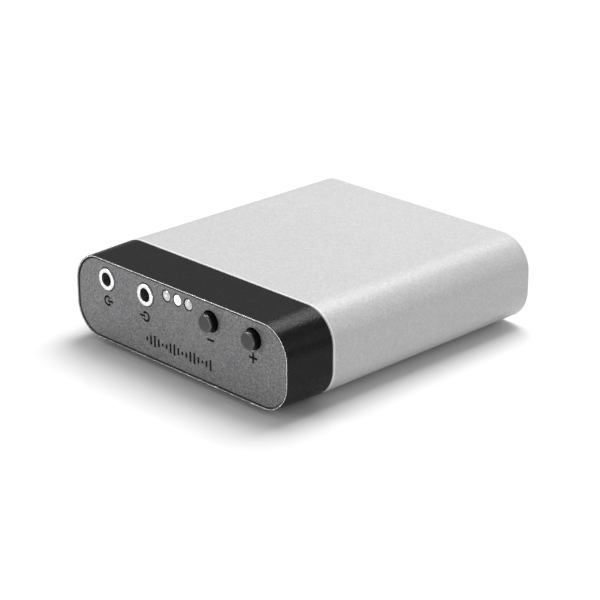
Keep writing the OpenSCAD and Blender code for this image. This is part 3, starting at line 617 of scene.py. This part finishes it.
class Turning:
    """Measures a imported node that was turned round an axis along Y."""

    def __init__(self, node):
        self.low, self.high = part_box(node)
        middle = (self.low + self.high) / 2
        self.x, self.z = middle.x, middle.z
        self.radius = (self.high.x - self.low.x) / 2
        self.corners = [(math.hypot(vert.co.x - self.x, vert.co.z - self.z), vert.co.y)
                        for vert in frame["nodes"][node].data.vertices]

    def radii(self, y):
        """Shortest and longest distance from the axis of the corners at a depth."""
        found = [radius for radius, depth in self.corners if abs(depth - y) < SAME_PLACE]
        return min(found), max(found)

    def span(self, radius):
        """First and last depth of the corners at about a distance from the axis."""
        found = [depth for distance, depth in self.corners
                 if abs(distance - radius) < SAME_PLACE]
        return min(found), max(found)


def filleted(corners, closed):
    """A 2D outline whose corners, each (a, b, radius), are rounded by arcs."""
    count = len(corners)
    outline = []
    for index, (a, b, radius) in enumerate(corners):
        here = Vector((a, b))
        on_axis = not closed and index in (0, count - 1)
        if radius <= 0 or on_axis:
            outline.append(here)
            continue
        before = (Vector(corners[index - 1][:2]) - here).normalized()
        after = (Vector(corners[(index + 1) % count][:2]) - here).normalized()
        half = before.angle(after) / 2
        reach = radius / math.tan(half)
        centre = here + (before + after).normalized() * (radius / math.sin(half))
        start = here + before * reach - centre
        end = here + after * reach - centre
        sweep = start.angle_signed(end)
        for step in range(FILLET_STEPS + 1):
            turn = -sweep * step / FILLET_STEPS
            outline.append(centre + Vector((
                start.x * math.cos(turn) - start.y * math.sin(turn),
                start.x * math.sin(turn) + start.y * math.cos(turn))))
    return outline


def turned(name, corners, x, z, closed, sides):
    """A mesh turned round an axis along Y, from (radius, y, fillet) corners.

    The outline of an open one starts and ends on the axis. The mesh carries the distance
    from the axis, which the finishes read.
    """
    shape = bmesh.new()
    layer = shape.verts.layers.float.new("turned_radius")
    rings = []
    for radius, y in filleted(corners, closed):
        count = 1 if radius < MERGE_DISTANCE else sides
        ring = []
        for index in range(count):
            angle = 2 * math.pi * index / sides
            vert = shape.verts.new((x + radius * math.cos(angle), y,
                                    z + radius * math.sin(angle)))
            vert[layer] = radius
            ring.append(vert)
        rings.append(ring)
    pairs = list(zip(rings, rings[1:]))
    if closed:
        pairs.append((rings[-1], rings[0]))
    for first, second in pairs:
        for index in range(sides):
            after = (index + 1) % sides
            corner_verts = [first[index % len(first)], first[after % len(first)],
                            second[after % len(second)], second[index % len(second)]]
            face = shape.faces.new(dict.fromkeys(corner_verts))
            face.smooth = True
    bmesh.ops.recalc_face_normals(shape, faces=shape.faces)
    mesh = bpy.data.meshes.new(name)
    shape.to_mesh(mesh)
    shape.free()
    mesh.set_sharp_from_angle(angle=SHADE_ANGLE)
    return mesh


# --- Geometry Nodes ---------------------------------------------------------------------


SOCKET_KINDS = {"length": "NodeSocketFloat", "count": "NodeSocketInt",
                "finish": "NodeSocketMaterial", "points": "NodeSocketGeometry"}


class Pattern(NodeSheet):
    """A Geometry Nodes tree that sets one shape at each vertex of its points."""

    def __init__(self, name, lengths, counts=()):
        tree = bpy.data.node_groups.new(name, "GeometryNodeTree")
        super().__init__(tree)
        wanted = [("Points", "points")] + [(item, "length") for item in lengths]
        wanted += [(item, "count") for item in counts] + [("Finish", "finish")]
        for label, kind in wanted:
            tree.interface.new_socket(name=label, in_out="INPUT",
                                      socket_type=SOCKET_KINDS[kind])
        tree.interface.new_socket(name="Geometry", in_out="OUTPUT",
                                  socket_type="NodeSocketGeometry")
        self.inputs = self.node("NodeGroupInput").outputs
        where = self.node("GeometryNodeInputPosition").outputs[0]
        split = self.node("ShaderNodeSeparateXYZ", None, {0: where})
        self.x, self.y, self.z = (Signal(self, socket) for socket in split.outputs)

    def size(self, label):
        """One of the named inputs, ready for an expression."""
        return Signal(self, self.inputs[label])

    def vector(self, x, y, z):
        return self.node("ShaderNodeCombineXYZ", None, {0: x, 1: y, 2: z}).outputs[0]

    def rod(self, radius, length, sides, steps, width):
        """An upright rod from 0 to its length whose radius the width function scales.

        The function gets the height above the base as a share of the length.
        """
        made = self.node("GeometryNodeMeshCylinder", {"fill_type": "TRIANGLE_FAN"}, {
            "Vertices": sides, "Side Segments": steps, "Radius": radius, "Depth": length})
        share = self.z / length + 0.5
        factor = width(share)
        moved = self.node("GeometryNodeSetPosition", None, {
            "Geometry": made.outputs["Mesh"],
            "Position": self.vector(self.x * factor, self.y * factor,
                                    self.z + length * 0.5)})
        return moved.outputs[0]

    def own_size(self):
        """The size that each point carries."""
        return self.node("GeometryNodeInputNamedAttribute", {"data_type": "FLOAT_VECTOR"},
                         {"Name": "size"}).outputs[0]

    def bar(self, x, y, z, height):
        """A plain bar round the upright axis, its middle at a height."""
        made = self.node("GeometryNodeMeshCube", None, {"Size": self.vector(x, y, z)})
        moved = self.node("GeometryNodeTransform", None, {
            "Geometry": made.outputs[0], "Translation": self.vector(0.0, 0.0, height)})
        return moved.outputs[0]

    def cut(self, body, *tools):
        """A body without the tools' space."""
        made = self.node("GeometryNodeMeshBoolean", {"operation": "DIFFERENCE"})
        self.tree.links.new(body, made.inputs[0])
        for tool in tools:
            self.tree.links.new(tool, made.inputs[1])
        return made.outputs[0]

    def joined(self, *parts):
        made = self.node("GeometryNodeJoinGeometry")
        for part in parts:
            self.tree.links.new(part, made.inputs[0])
        return made.outputs[0]

    def finished(self, shape, scale=None, turn=(0.0, 0.0, 0.0)):
        """Sets the shape at every point, makes it real and gives it the finish."""
        inputs = {"Points": self.inputs["Points"], "Instance": shape, "Rotation": turn}
        if scale is not None:
            inputs["Scale"] = scale
        copies = self.node("GeometryNodeInstanceOnPoints", None, inputs)
        real = self.node("GeometryNodeRealizeInstances", None, {0: copies.outputs[0]})
        smooth = self.node("GeometryNodeSetShadeSmooth", None, {0: real.outputs[0]})
        painted = self.node("GeometryNodeSetMaterial", None, {
            "Geometry": smooth.outputs[0], "Material": self.inputs["Finish"]})
        self.node("NodeGroupOutput", None, {0: painted.outputs[0]})
        return self.tree


def screw_pattern(name, turn, head_width):
    """Screws with a helical thread and a cross recess, set at their tips.

    The head_width function turns a share of the head's height into one of its radius.
    """
    sheet = Pattern(name, ["Head Radius", "Head Height", "Shank Radius", "Length",
                           "Pitch", "Thread Depth", "Recess Width", "Recess Depth"])
    shank_l = sheet.size("Length") - sheet.size("Head Height")
    pitch, depth = sheet.size("Pitch"), sheet.size("Thread Depth")
    angle = sheet.y.math("ARCTAN2", sheet.y, sheet.x) / (2 * math.pi)

    def thread(share):
        phase = (share * shank_l / pitch + angle).fraction()
        valley = abs(phase - 0.5) * 2
        tip = (share * 9).clamped() * 0.45 + 0.55
        return (1 - valley * depth / sheet.size("Shank Radius")) * tip

    overlap = 0.05 * MM
    shank = sheet.rod(sheet.size("Shank Radius"), shank_l + overlap, sides=20, steps=90,
                      width=thread)
    head_h = sheet.size("Head Height")
    head = sheet.rod(sheet.size("Head Radius"), head_h, sides=48, steps=10,
                     width=head_width)
    width, deep = sheet.size("Recess Width"), sheet.size("Recess Depth")
    span = sheet.size("Head Radius") * 1.15
    recess = [sheet.bar(x, y, deep * 2, head_h)
              for x, y in ((width, span), (span, width))]
    head = sheet.cut(head, *recess)
    raised = sheet.node("GeometryNodeTransform", None, {
        "Geometry": head, "Translation": sheet.vector(0.0, 0.0, shank_l)})
    return sheet.finished(sheet.joined(shank, raised.outputs[0]), turn=turn)


def foot_pattern():
    """Round rubber feet with a rolled edge and a shallow dish, set on the floor."""
    sheet = Pattern("foot_pattern", ["Radius", "Height", "Dish Radius", "Dish Depth"])
    foot = sheet.rod(sheet.size("Radius"), sheet.size("Height"), sides=64, steps=12,
                     width=lambda share: 1 - (1 - share) ** 5 * 0.055)
    dish = sheet.rod(sheet.size("Dish Radius"), sheet.size("Dish Depth") * 2, sides=64,
                     steps=2, width=lambda share: 1 - share * 0.1)
    sunk = sheet.node("GeometryNodeTransform", None, {
        "Geometry": dish,
        "Translation": sheet.vector(0.0, 0.0, sheet.size("Dish Depth") * -1)})
    return sheet.finished(sheet.cut(foot, sunk.outputs[0]))


def can_pattern():
    """Electrolytic cans with a rolled groove and a scored vent, each at its own size."""
    sheet = Pattern("can_pattern", ["Groove Height", "Groove Depth", "Score Width",
                                    "Score Depth"])
    groove, depth = sheet.size("Groove Height"), sheet.size("Groove Depth")
    can = sheet.rod(1.0, 1.0, sides=48, steps=40, width=lambda share: (
        1 - abs(share - groove).below(0.05, 0.06) * depth - share ** 24 * 0.07))
    width, score = sheet.size("Score Width"), sheet.size("Score Depth")
    vent = [sheet.bar(x, y, score * 2, 1.0) for x, y in ((width, 1.3), (1.3, width))]
    return sheet.finished(sheet.cut(can, *vent), scale=sheet.own_size())


def patterned(name, tree, points, values, slot, *nodes, sizes=None):
    """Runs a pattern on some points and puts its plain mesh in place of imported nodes."""
    start = bpy.data.meshes.new(name + "_points")
    start.from_pydata([tuple(point) for point in points], [], [])
    if sizes:
        layer = start.attributes.new("size", "FLOAT_VECTOR", "POINT")
        layer.data.foreach_set("vector", [value for size in sizes for value in size])
    holder = bpy.data.objects.new(name + "_pattern", start)
    bpy.context.scene.collection.objects.link(holder)
    modifier = holder.modifiers.new("Pattern", "NODES")
    modifier.node_group = tree
    given = {**values, "Finish": finish(slot)}
    for socket in tree.interface.items_tree:
        if socket.item_type == "SOCKET" and socket.name in given:
            modifier[socket.identifier] = given[socket.name]
    solid = holder.evaluated_get(bpy.context.evaluated_depsgraph_get())
    mesh = bpy.data.meshes.new_from_object(solid)
    holder.modifiers.remove(modifier)
    bpy.data.objects.remove(holder)
    if not mesh.polygons:
        raise RuntimeError(f"the pattern of {name} made nothing")
    mesh.name = name
    mesh.set_sharp_from_angle(angle=SHADE_ANGLE)
    place_piece(name, mesh, slot, *nodes)


# --- Properties -------------------------------------------------------------------------


def length(name, description, default, low, high):
    """A size that a user may change, given here in millimetres."""
    return FloatProperty(name=name, description=description, default=default * MM,
                         min=low * MM, max=high * MM, unit="LENGTH")


def tint(name, description, default):
    """A colour that a user may change."""
    return FloatVectorProperty(name=name, description=description, default=default,
                               min=0.0, max=1.0, subtype="COLOR")


def power(name, description, default):
    """A lamp's power that a user may change."""
    return FloatProperty(name=name, description=description, default=default, min=0.0,
                         unit="POWER")


class DacSizes(bpy.types.PropertyGroup):
    """Sizes of the details that a user would change."""

    soft_edge: length(
        "Soft Edge", "Rounding of the metal housing's edges", 0.06, 0.01, 0.2)
    fine_edge: length(
        "Fine Edge", "Rounding of the small inner parts' edges", 0.03, 0.01, 0.1)
    ring_rounding: length(
        "Ring Rounding", "Rounding of a jack ring's outer front edge", 0.3, 0.05, 0.5)
    key_rounding: length(
        "Key Rounding", "Rounding of a key's front edge", 0.36, 0.05, 0.6)
    lip: length(
        "Bore Lip", "Rounding of a jack ring's bore at the front", 0.14, 0.05, 0.4)
    key_dish: length(
        "Key Dish", "Depth of the dish in a key's face", 0.05, 0.0, 0.3)
    pan_height: length(
        "Pan Height", "Height of the bezel screws' heads", 1.3, 0.8, 1.6)
    recess_width: length(
        "Recess Width", "Width of a slot of the screws' cross recess", 0.5, 0.2, 0.8)
    thread_pitch: length(
        "Thread Pitch", "Distance between two turns of a screw's thread", 0.4, 0.25, 0.7)
    turned_sides: IntProperty(
        name="Turned Sides", description="Faces round each turned part",
        default=96, min=24, max=192)


class DacFinishes(bpy.types.PropertyGroup):
    """Colours and grain of the finishes that show."""

    sleeve: tint("Sleeve", "Colour of the blasted sleeve", (0.51, 0.51, 0.515))
    bezel: tint("Bezel", "Colour of the black anodised bezel", (0.0048, 0.0048, 0.005))
    bright_cut: tint(
        "Bright Cut", "Colour of the bezel's bright-cut rim", (0.43, 0.43, 0.435))
    panel: tint("Panel", "Colour of the blasted front panel", (0.19, 0.19, 0.195))
    ring: tint("Ring", "Colour of the plated jack rings", (0.78, 0.78, 0.78))
    # The keys' face tone, painted lighter as lit from the front; the sides are painted far
    # darker, as shade.
    key: tint("Key", "Colour of the keys' rubbed faces", (0.06, 0.06, 0.061))
    light: tint("Light", "Colour of the indicator lights' lenses", (0.8, 0.8, 0.8))
    glow: FloatProperty(
        name="Glow", description="Strength of the lit indicator light",
        default=1.1, min=0.0, max=10.0)
    grain: length("Grain", "Width of a pit of the blasted surfaces", 0.4, 0.05, 1.0)


class DacStudio(bpy.types.PropertyGroup):
    """Camera, lights and floor."""

    azimuth: FloatProperty(
        name="Azimuth", description="Camera's turn round the dac from straight ahead",
        default=math.radians(45.687), subtype="ANGLE", unit="ROTATION")
    elevation: FloatProperty(
        name="Elevation", description="Camera's angle above the horizon",
        default=math.radians(21.825), subtype="ANGLE", unit="ROTATION")
    distance: FloatProperty(
        name="Distance", description="Camera's distance from the point it aims at",
        default=0.5012, min=0.1, unit="LENGTH")
    aim: FloatVectorProperty(
        name="Aim", description="Point that the camera aims at", subtype="TRANSLATION",
        default=(0.016466, -0.016503, 0.018063), unit="LENGTH")
    lens: FloatProperty(
        name="Lens", description="Focal length in millimetres on a 36 mm sensor",
        default=120.06, min=10.0)
    sky: FloatProperty(
        name="Sky", description="Strength of the even light from all round",
        default=0.38, min=0.0)
    overhead: power("Overhead", "Power of the softbox above", 13.5)
    side: power("Side", "Power of the softbox to the right", 1.35)
    front: power("Front", "Power of the softbox in front and to the left", 2.9)


# --- Housing ----------------------------------------------------------------------------


class DAC_OT_sleeve(bpy.types.Operator):
    """Makes the extruded sleeve with its rounded and bright-cut edges"""

    bl_idname = "dac.sleeve"
    bl_label = "Sleeve"

    def execute(self, context):
        refine("sleeve", "sleeve_metal", context.scene.dac_sizes.soft_edge)
        return {"FINISHED"}


class DAC_OT_bezel(bpy.types.Operator):
    """Makes the front bezel with its bright rim"""

    bl_idname = "dac.bezel"
    bl_label = "Front Bezel"

    def execute(self, context):
        refine("front_bezel", "bezel_black", context.scene.dac_sizes.soft_edge)
        return {"FINISHED"}


class DAC_OT_front_panel(bpy.types.Operator):
    """Makes the front panel with its engraved marks, their ink and the tape behind it"""

    bl_idname = "dac.front_panel"
    bl_label = "Front Panel"

    def execute(self, context):
        fine = context.scene.dac_sizes.fine_edge
        refine("front_panel", "panel_grey", fine)
        refine("panel_symbols", "ink", fine / 3)
        refine("panel_tape", "tape", fine)
        return {"FINISHED"}


class DAC_OT_rear_panel(bpy.types.Operator):
    """Makes the rear panel"""

    bl_idname = "dac.rear_panel"
    bl_label = "Rear Panel"

    def execute(self, context):
        refine("rear_panel", "rear_black", context.scene.dac_sizes.soft_edge)
        return {"FINISHED"}


# --- Controls ---------------------------------------------------------------------------


class DAC_OT_jacks(bpy.types.Operator):
    """Makes both jacks: the turned ring, the body and the contacts"""

    bl_idname = "dac.jacks"
    bl_label = "Jacks"

    def execute(self, context):
        sizes = context.scene.dac_sizes
        for jack in ("headphone_jack", "line_in_jack"):
            node = jack + "_ring"
            blank = Turning(node)
            front, end = blank.low.y, blank.high.y
            bore, ring = blank.radii(front)
            tube = blank.radii(end)[1]
            flange = blank.span(blank.radius)
            mesh = turned(node + "_turned", [
                (bore, front, sizes.lip), (ring, front, sizes.ring_rounding),
                (ring, flange[0], 0.0), (blank.radius, flange[0], sizes.fine_edge),
                (blank.radius, flange[1], sizes.fine_edge), (tube, flange[1], 0.0),
                (tube, end, sizes.fine_edge), (bore, end, sizes.fine_edge)],
                blank.x, blank.z, True, sizes.turned_sides)
            place_piece(node + "_turned", mesh, "nickel", node)
            refine(jack + "_body", "jack_plastic", sizes.fine_edge)
            refine(jack + "_contacts", "contact_gold", sizes.fine_edge)
        return {"FINISHED"}


class DAC_OT_keys(bpy.types.Operator):
    """Makes the two keys, slightly dished, and their switches"""

    bl_idname = "dac.keys"
    bl_label = "Keys"

    def execute(self, context):
        sizes = context.scene.dac_sizes
        fine = sizes.fine_edge
        for key in ("minus", "plus"):
            node = key + "_button"
            blank = Turning(node)
            front, end = blank.low.y, blank.high.y
            stem, cap = blank.radii(end)
            flange = blank.span(blank.radius)
            socket = blank.span(stem)[0]
            mesh = turned(node + "_turned", [
                (0.0, front + sizes.key_dish, 0.0),
                (cap * 0.45, front + sizes.key_dish, 1 * MM),
                (cap * 0.8, front, 0.5 * MM), (cap, front, sizes.key_rounding),
                (cap, flange[0], 0.0), (blank.radius, flange[0], fine),
                (blank.radius, flange[1], fine), (cap, flange[1], 0.0), (cap, end, fine),
                (stem, end, fine), (stem, socket, 0.0), (0.0, socket, 0.0)],
                blank.x, blank.z, False, sizes.turned_sides)
            place_piece(node + "_turned", mesh, "key_black", node)
            refine(key + "_switch_plunger", "switch_plastic", fine)
            refine(key + "_switch_dome", "plated_sheet", fine / 3)
            refine(key + "_switch_body", "switch_plastic", fine)
            refine(key + "_switch_cover", "plated_sheet", fine)
        return {"FINISHED"}


class DAC_OT_lights(bpy.types.Operator):
    """Makes the three indicator lights, their holder and their leads"""

    bl_idname = "dac.lights"
    bl_label = "Lights"

    def execute(self, context):
        sizes = context.scene.dac_sizes
        fine = sizes.fine_edge
        for node, slot in (("led_left", "led_clear"), ("led_middle", "led_lit"),
                           ("led_right", "led_clear")):
            blank = Turning(node)
            flange = blank.span(blank.radius)
            lens = min(blank.radii(flange[0])[0], blank.radius - 0.2 * MM)
            brim = blank.span(lens)[0]
            rise = brim - blank.low.y
            curve = (lens ** 2 + rise ** 2) / (2 * rise)
            dome = []
            for step in range(DOME_STEPS):
                out = lens * step / DOME_STEPS
                rest = math.sqrt(curve ** 2 - out ** 2)
                dome.append((out, blank.low.y + curve - rest, 0.0))
            mesh = turned(node + "_turned", dome + [
                (lens, brim, 0.12 * MM), (lens, flange[0], 0.0),
                (blank.radius, flange[0], fine), (blank.radius, flange[1], fine),
                (0.0, flange[1], 0.0)], blank.x, blank.z, False, sizes.turned_sides)
            place_piece(node + "_turned", mesh, slot, node)
        refine("led_holder", "switch_plastic", fine)
        refine("led_leads", "lead_tin", fine)
        return {"FINISHED"}


# --- Screws and feet --------------------------------------------------------------------


class DAC_OT_screws(bpy.types.Operator):
    """Makes the pan-head screws behind the panel and the flat-head ones at the rear"""

    bl_idname = "dac.screws"
    bl_label = "Screws"

    def execute(self, context):
        sizes = context.scene.dac_sizes
        for node, turn, front, taper in (("bezel_screws", 90, True, False),
                                         ("rear_screws", -90, False, True)):
            shape = cleaned(node)
            found = islands(shape)
            shape.free()
            middles = [(low + high) / 2 for _, low, high in found]
            low, high = found[0][1:]
            head_radius = (high.x - low.x) / 2
            length = high.y - low.y
            tip = high.y if front else low.y
            reach = [math.hypot(vert.co.x - middles[0].x, vert.co.z - middles[0].z)
                     for vert in frame["nodes"][node].data.vertices
                     if abs(vert.co.y - tip) < MERGE_DISTANCE]
            shank_radius = min(reach)
            head_height = sizes.pan_height if front else head_radius - shank_radius
            narrow = shank_radius / head_radius
            width = ((lambda share: narrow + share * (1 - narrow)) if taper
                     else (lambda share: 1 - share ** 5 * 0.16))
            tree = screw_pattern(node + "_pattern", (math.radians(turn), 0.0, 0.0), width)
            tips = [(middle.x, tip, middle.z) for middle in middles]
            patterned(node + "_threaded", tree, tips, {
                "Head Radius": head_radius, "Head Height": head_height,
                "Shank Radius": shank_radius, "Length": length,
                "Pitch": sizes.thread_pitch, "Thread Depth": THREAD_DEPTH,
                "Recess Width": sizes.recess_width, "Recess Depth": head_height * 0.6},
                "screw_steel", node)
        return {"FINISHED"}


class DAC_OT_feet(bpy.types.Operator):
    """Makes the four rubber feet"""

    bl_idname = "dac.feet"
    bl_label = "Feet"

    def execute(self, context):
        nodes = [f"foot_{end}_{side}" for end in ("front", "rear")
                 for side in ("left", "right")]
        boxes = [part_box(node) for node in nodes]
        low, high = boxes[0]
        points = [((a.x + b.x) / 2, (a.y + b.y) / 2, a.z) for a, b in boxes]
        radius = (high.x - low.x) / 2
        patterned("rubber_feet", foot_pattern(), points, {
            "Radius": radius, "Height": high.z - low.z, "Dish Radius": radius * 0.62,
            "Dish Depth": 0.2 * MM}, "foot_rubber", *nodes)
        return {"FINISHED"}


# --- Inner parts ------------------------------------------------------------------------


def paint_ends(share):
    """Gives both ends of each solid, a share of its length each, the second slot."""
    def paint(shape):
        for group, low, high in islands(shape):
            size = high - low
            axis = 0 if size.x > size.y else 1
            for face in group:
                place = (face.calc_center_median()[axis] - low[axis]) / size[axis]
                face.material_index = int(min(place, 1 - place) < share)
    return paint


def paint_legs(reach):
    """Gives the small faces within a reach of each solid's sides the second slot."""
    def paint(shape):
        for group, low, high in islands(shape):
            for face in group:
                spot = face.calc_center_median()
                gap = min(spot.x - low.x, high.x - spot.x,
                          spot.y - low.y, high.y - spot.y)
                face.material_index = int(gap < reach and face.calc_area() < reach ** 2)
    return paint


class DAC_OT_board(bpy.types.Operator):
    """Makes the main board and the chips on it"""

    bl_idname = "dac.board"
    bl_label = "Board and Chips"

    def execute(self, context):
        fine = context.scene.dac_sizes.fine_edge
        refine("main_board", "board_green", fine)
        for chip in ("dac_chip", "usb_chip", "amplifier_chips", "volume_chip",
                     "charger_chip"):
            refine(chip, "chip_black", fine / 2, paint_legs(0.95 * MM), ("lead_tin",))
        return {"FINISHED"}


class DAC_OT_passives(bpy.types.Operator):
    """Makes the capacitors, crystals, inductors and small parts of the board"""

    bl_idname = "dac.passives"
    bl_label = "Capacitors and Small Parts"

    def execute(self, context):
        fine = context.scene.dac_sizes.fine_edge
        shape = cleaned("capacitor_cans")
        boxes = [(low, high) for _, low, high in islands(shape)]
        shape.free()
        points = [((low.x + high.x) / 2, (low.y + high.y) / 2, low.z)
                  for low, high in boxes]
        cans = [((high.x - low.x) / 2, (high.y - low.y) / 2, high.z - low.z)
                for low, high in boxes]
        patterned("capacitor_cans_grooved", can_pattern(), points, {
            "Groove Height": 0.16, "Groove Depth": 0.07, "Score Width": 0.05,
            "Score Depth": 0.012}, "can_aluminium", "capacitor_cans", sizes=cans)
        refine("capacitor_bases", "chip_black", fine)
        refine("film_capacitors", "film_red", fine * 4)
        refine("clock_crystals", "can_aluminium", fine * 2)
        refine("power_inductors", "ferrite", fine * 2)
        refine("small_board_parts", "ceramic", fine / 2, paint_ends(0.28), ("lead_tin",))
        return {"FINISHED"}


class DAC_OT_usb_socket(bpy.types.Operator):
    """Makes the usb socket at the rear"""

    bl_idname = "dac.usb_socket"
    bl_label = "Usb Socket"

    def execute(self, context):
        fine = context.scene.dac_sizes.fine_edge
        refine("usb_socket_shell", "plated_sheet", fine * 2)
        refine("usb_socket_tongue", "jack_plastic", fine)
        refine("usb_socket_contacts", "contact_gold", fine / 2)
        return {"FINISHED"}


class DAC_OT_battery(bpy.types.Operator):
    """Makes the battery cell, its pad and sheet, its guard board and its leads"""

    bl_idname = "dac.battery"
    bl_label = "Battery"

    def execute(self, context):
        fine = context.scene.dac_sizes.fine_edge
        refine("battery_cell", "cell_foil", fine * 8)
        refine("battery_guard_board", "board_green", fine)
        refine("battery_pad", "foam", fine * 3)
        refine("insulator_sheet", "fish_paper", fine / 2)
        refine("battery_lead_red", "wire_red", fine / 2)
        refine("battery_lead_black", "wire_black", fine / 2)
        refine("battery_plug", "connector_ivory", fine * 2)
        refine("battery_socket", "connector_ivory", fine)
        return {"FINISHED"}


# --- Studio -----------------------------------------------------------------------------


FLOOR_WIDTH = 8.0
SENSOR_WIDTH = 36.0
# Each softbox's direction and distance from the aim, and its width
SOFTBOXES = {
    "overhead": ((-0.16, 0.45, 1.0), 1.1, 0.7),
    "side": ((0.85, 0.38, 0.42), 1.0, 0.5),
    "front": ((-0.8, -1.0, 0.3), 1.0, 0.22),
}


def softbox(name, aim, direction, distance, width, watts):
    """Sets up a square area light that faces the aim."""
    data = bpy.data.lights.new(name, "AREA")
    data.shape = "SQUARE"
    data.size = width
    data.energy = watts
    lamp = bpy.data.objects.new(name, data)
    bpy.context.scene.collection.objects.link(lamp)
    towards = Vector(direction).normalized()
    lamp.location = aim + towards * distance
    lamp.rotation_euler = (-towards).to_track_quat("-Z", "Y").to_euler()


class DAC_OT_studio(bpy.types.Operator):
    """Sets up the floor, the lights and the camera"""

    bl_idname = "dac.studio"
    bl_label = "Studio"

    def execute(self, context):
        scene = context.scene
        studio = scene.dac_studio
        aim = Vector(studio.aim)

        world = bpy.data.worlds.new("studio_sky")
        world.use_nodes = True
        sky = NodeSheet(world.node_tree)
        light = sky.node("ShaderNodeBackground", None, {
            "Color": (1.0, 1.0, 1.0, 1.0), "Strength": studio.sky})
        sky.node("ShaderNodeOutputWorld", None, {"Surface": light.outputs[0]})
        scene.world = world

        for place, where in SOFTBOXES.items():
            softbox("softbox_" + place, aim, *where, getattr(studio, place))

        half = FLOOR_WIDTH / 2
        mesh = bpy.data.meshes.new("studio_floor")
        mesh.from_pydata([(-half, -half, 0), (half, -half, 0), (half, half, 0),
                          (-half, half, 0)], [], [(0, 1, 2, 3)])
        floor = bpy.data.objects.new("studio_floor", mesh)
        scene.collection.objects.link(floor)
        look = Finish("floor_card", (0.86, 0.86, 0.86), 0.16, IOR=1.4)
        look.set(Roughness=0.14 + look.noise(40 * MM) * 0.05)
        mesh.materials.append(look.material)

        data = bpy.data.cameras.new("camera")
        data.lens = studio.lens
        data.sensor_width = SENSOR_WIDTH
        data.clip_start = 0.01
        camera = bpy.data.objects.new("camera", data)
        scene.collection.objects.link(camera)
        turn, rise = studio.azimuth, studio.elevation
        back = Vector((math.sin(turn) * math.cos(rise), -math.cos(turn) * math.cos(rise),
                       math.sin(rise)))
        camera.location = aim + back * studio.distance
        camera.rotation_euler = (-back).to_track_quat("-Z", "Y").to_euler()
        scene.camera = camera
        scene.view_settings.view_transform = "Standard"
        return {"FINISHED"}


# --- Panel and registration -------------------------------------------------------------


PIECES = (DAC_OT_sleeve, DAC_OT_bezel, DAC_OT_front_panel, DAC_OT_rear_panel,
          DAC_OT_jacks, DAC_OT_keys, DAC_OT_lights, DAC_OT_screws, DAC_OT_feet,
          DAC_OT_board, DAC_OT_passives, DAC_OT_usb_socket, DAC_OT_battery,
          DAC_OT_studio)


class DAC_PT_sidebar(bpy.types.Panel):
    """Lists the dac's operators, sizes and colours"""

    bl_label = "Headphone Dac"
    bl_idname = "DAC_PT_sidebar"
    bl_space_type = "VIEW_3D"
    bl_region_type = "UI"
    bl_category = "Dac"

    def draw(self, context):
        for operator in PIECES:
            self.layout.operator(operator.bl_idname)
        for group in (context.scene.dac_sizes, context.scene.dac_finishes,
                      context.scene.dac_studio):
            box = self.layout.box()
            for name in group.bl_rna.properties.keys():
                if name not in ("rna_type", "name"):
                    box.prop(group, name)


CLASSES = (DacSizes, DacFinishes, DacStudio, *PIECES, DAC_PT_sidebar)


def register():
    for item in CLASSES:
        bpy.utils.register_class(item)
    bpy.types.Scene.dac_sizes = PointerProperty(type=DacSizes)
    bpy.types.Scene.dac_finishes = PointerProperty(type=DacFinishes)
    bpy.types.Scene.dac_studio = PointerProperty(type=DacStudio)


def unregister():
    del bpy.types.Scene.dac_studio
    del bpy.types.Scene.dac_finishes
    del bpy.types.Scene.dac_sizes
    for item in reversed(CLASSES):
        bpy.utils.unregister_class(item)


def main():
    register()
    for operator in PIECES:
        getattr(bpy.ops.dac, operator.bl_idname.split(".")[1])()


if __name__ == "__main__":
    main()
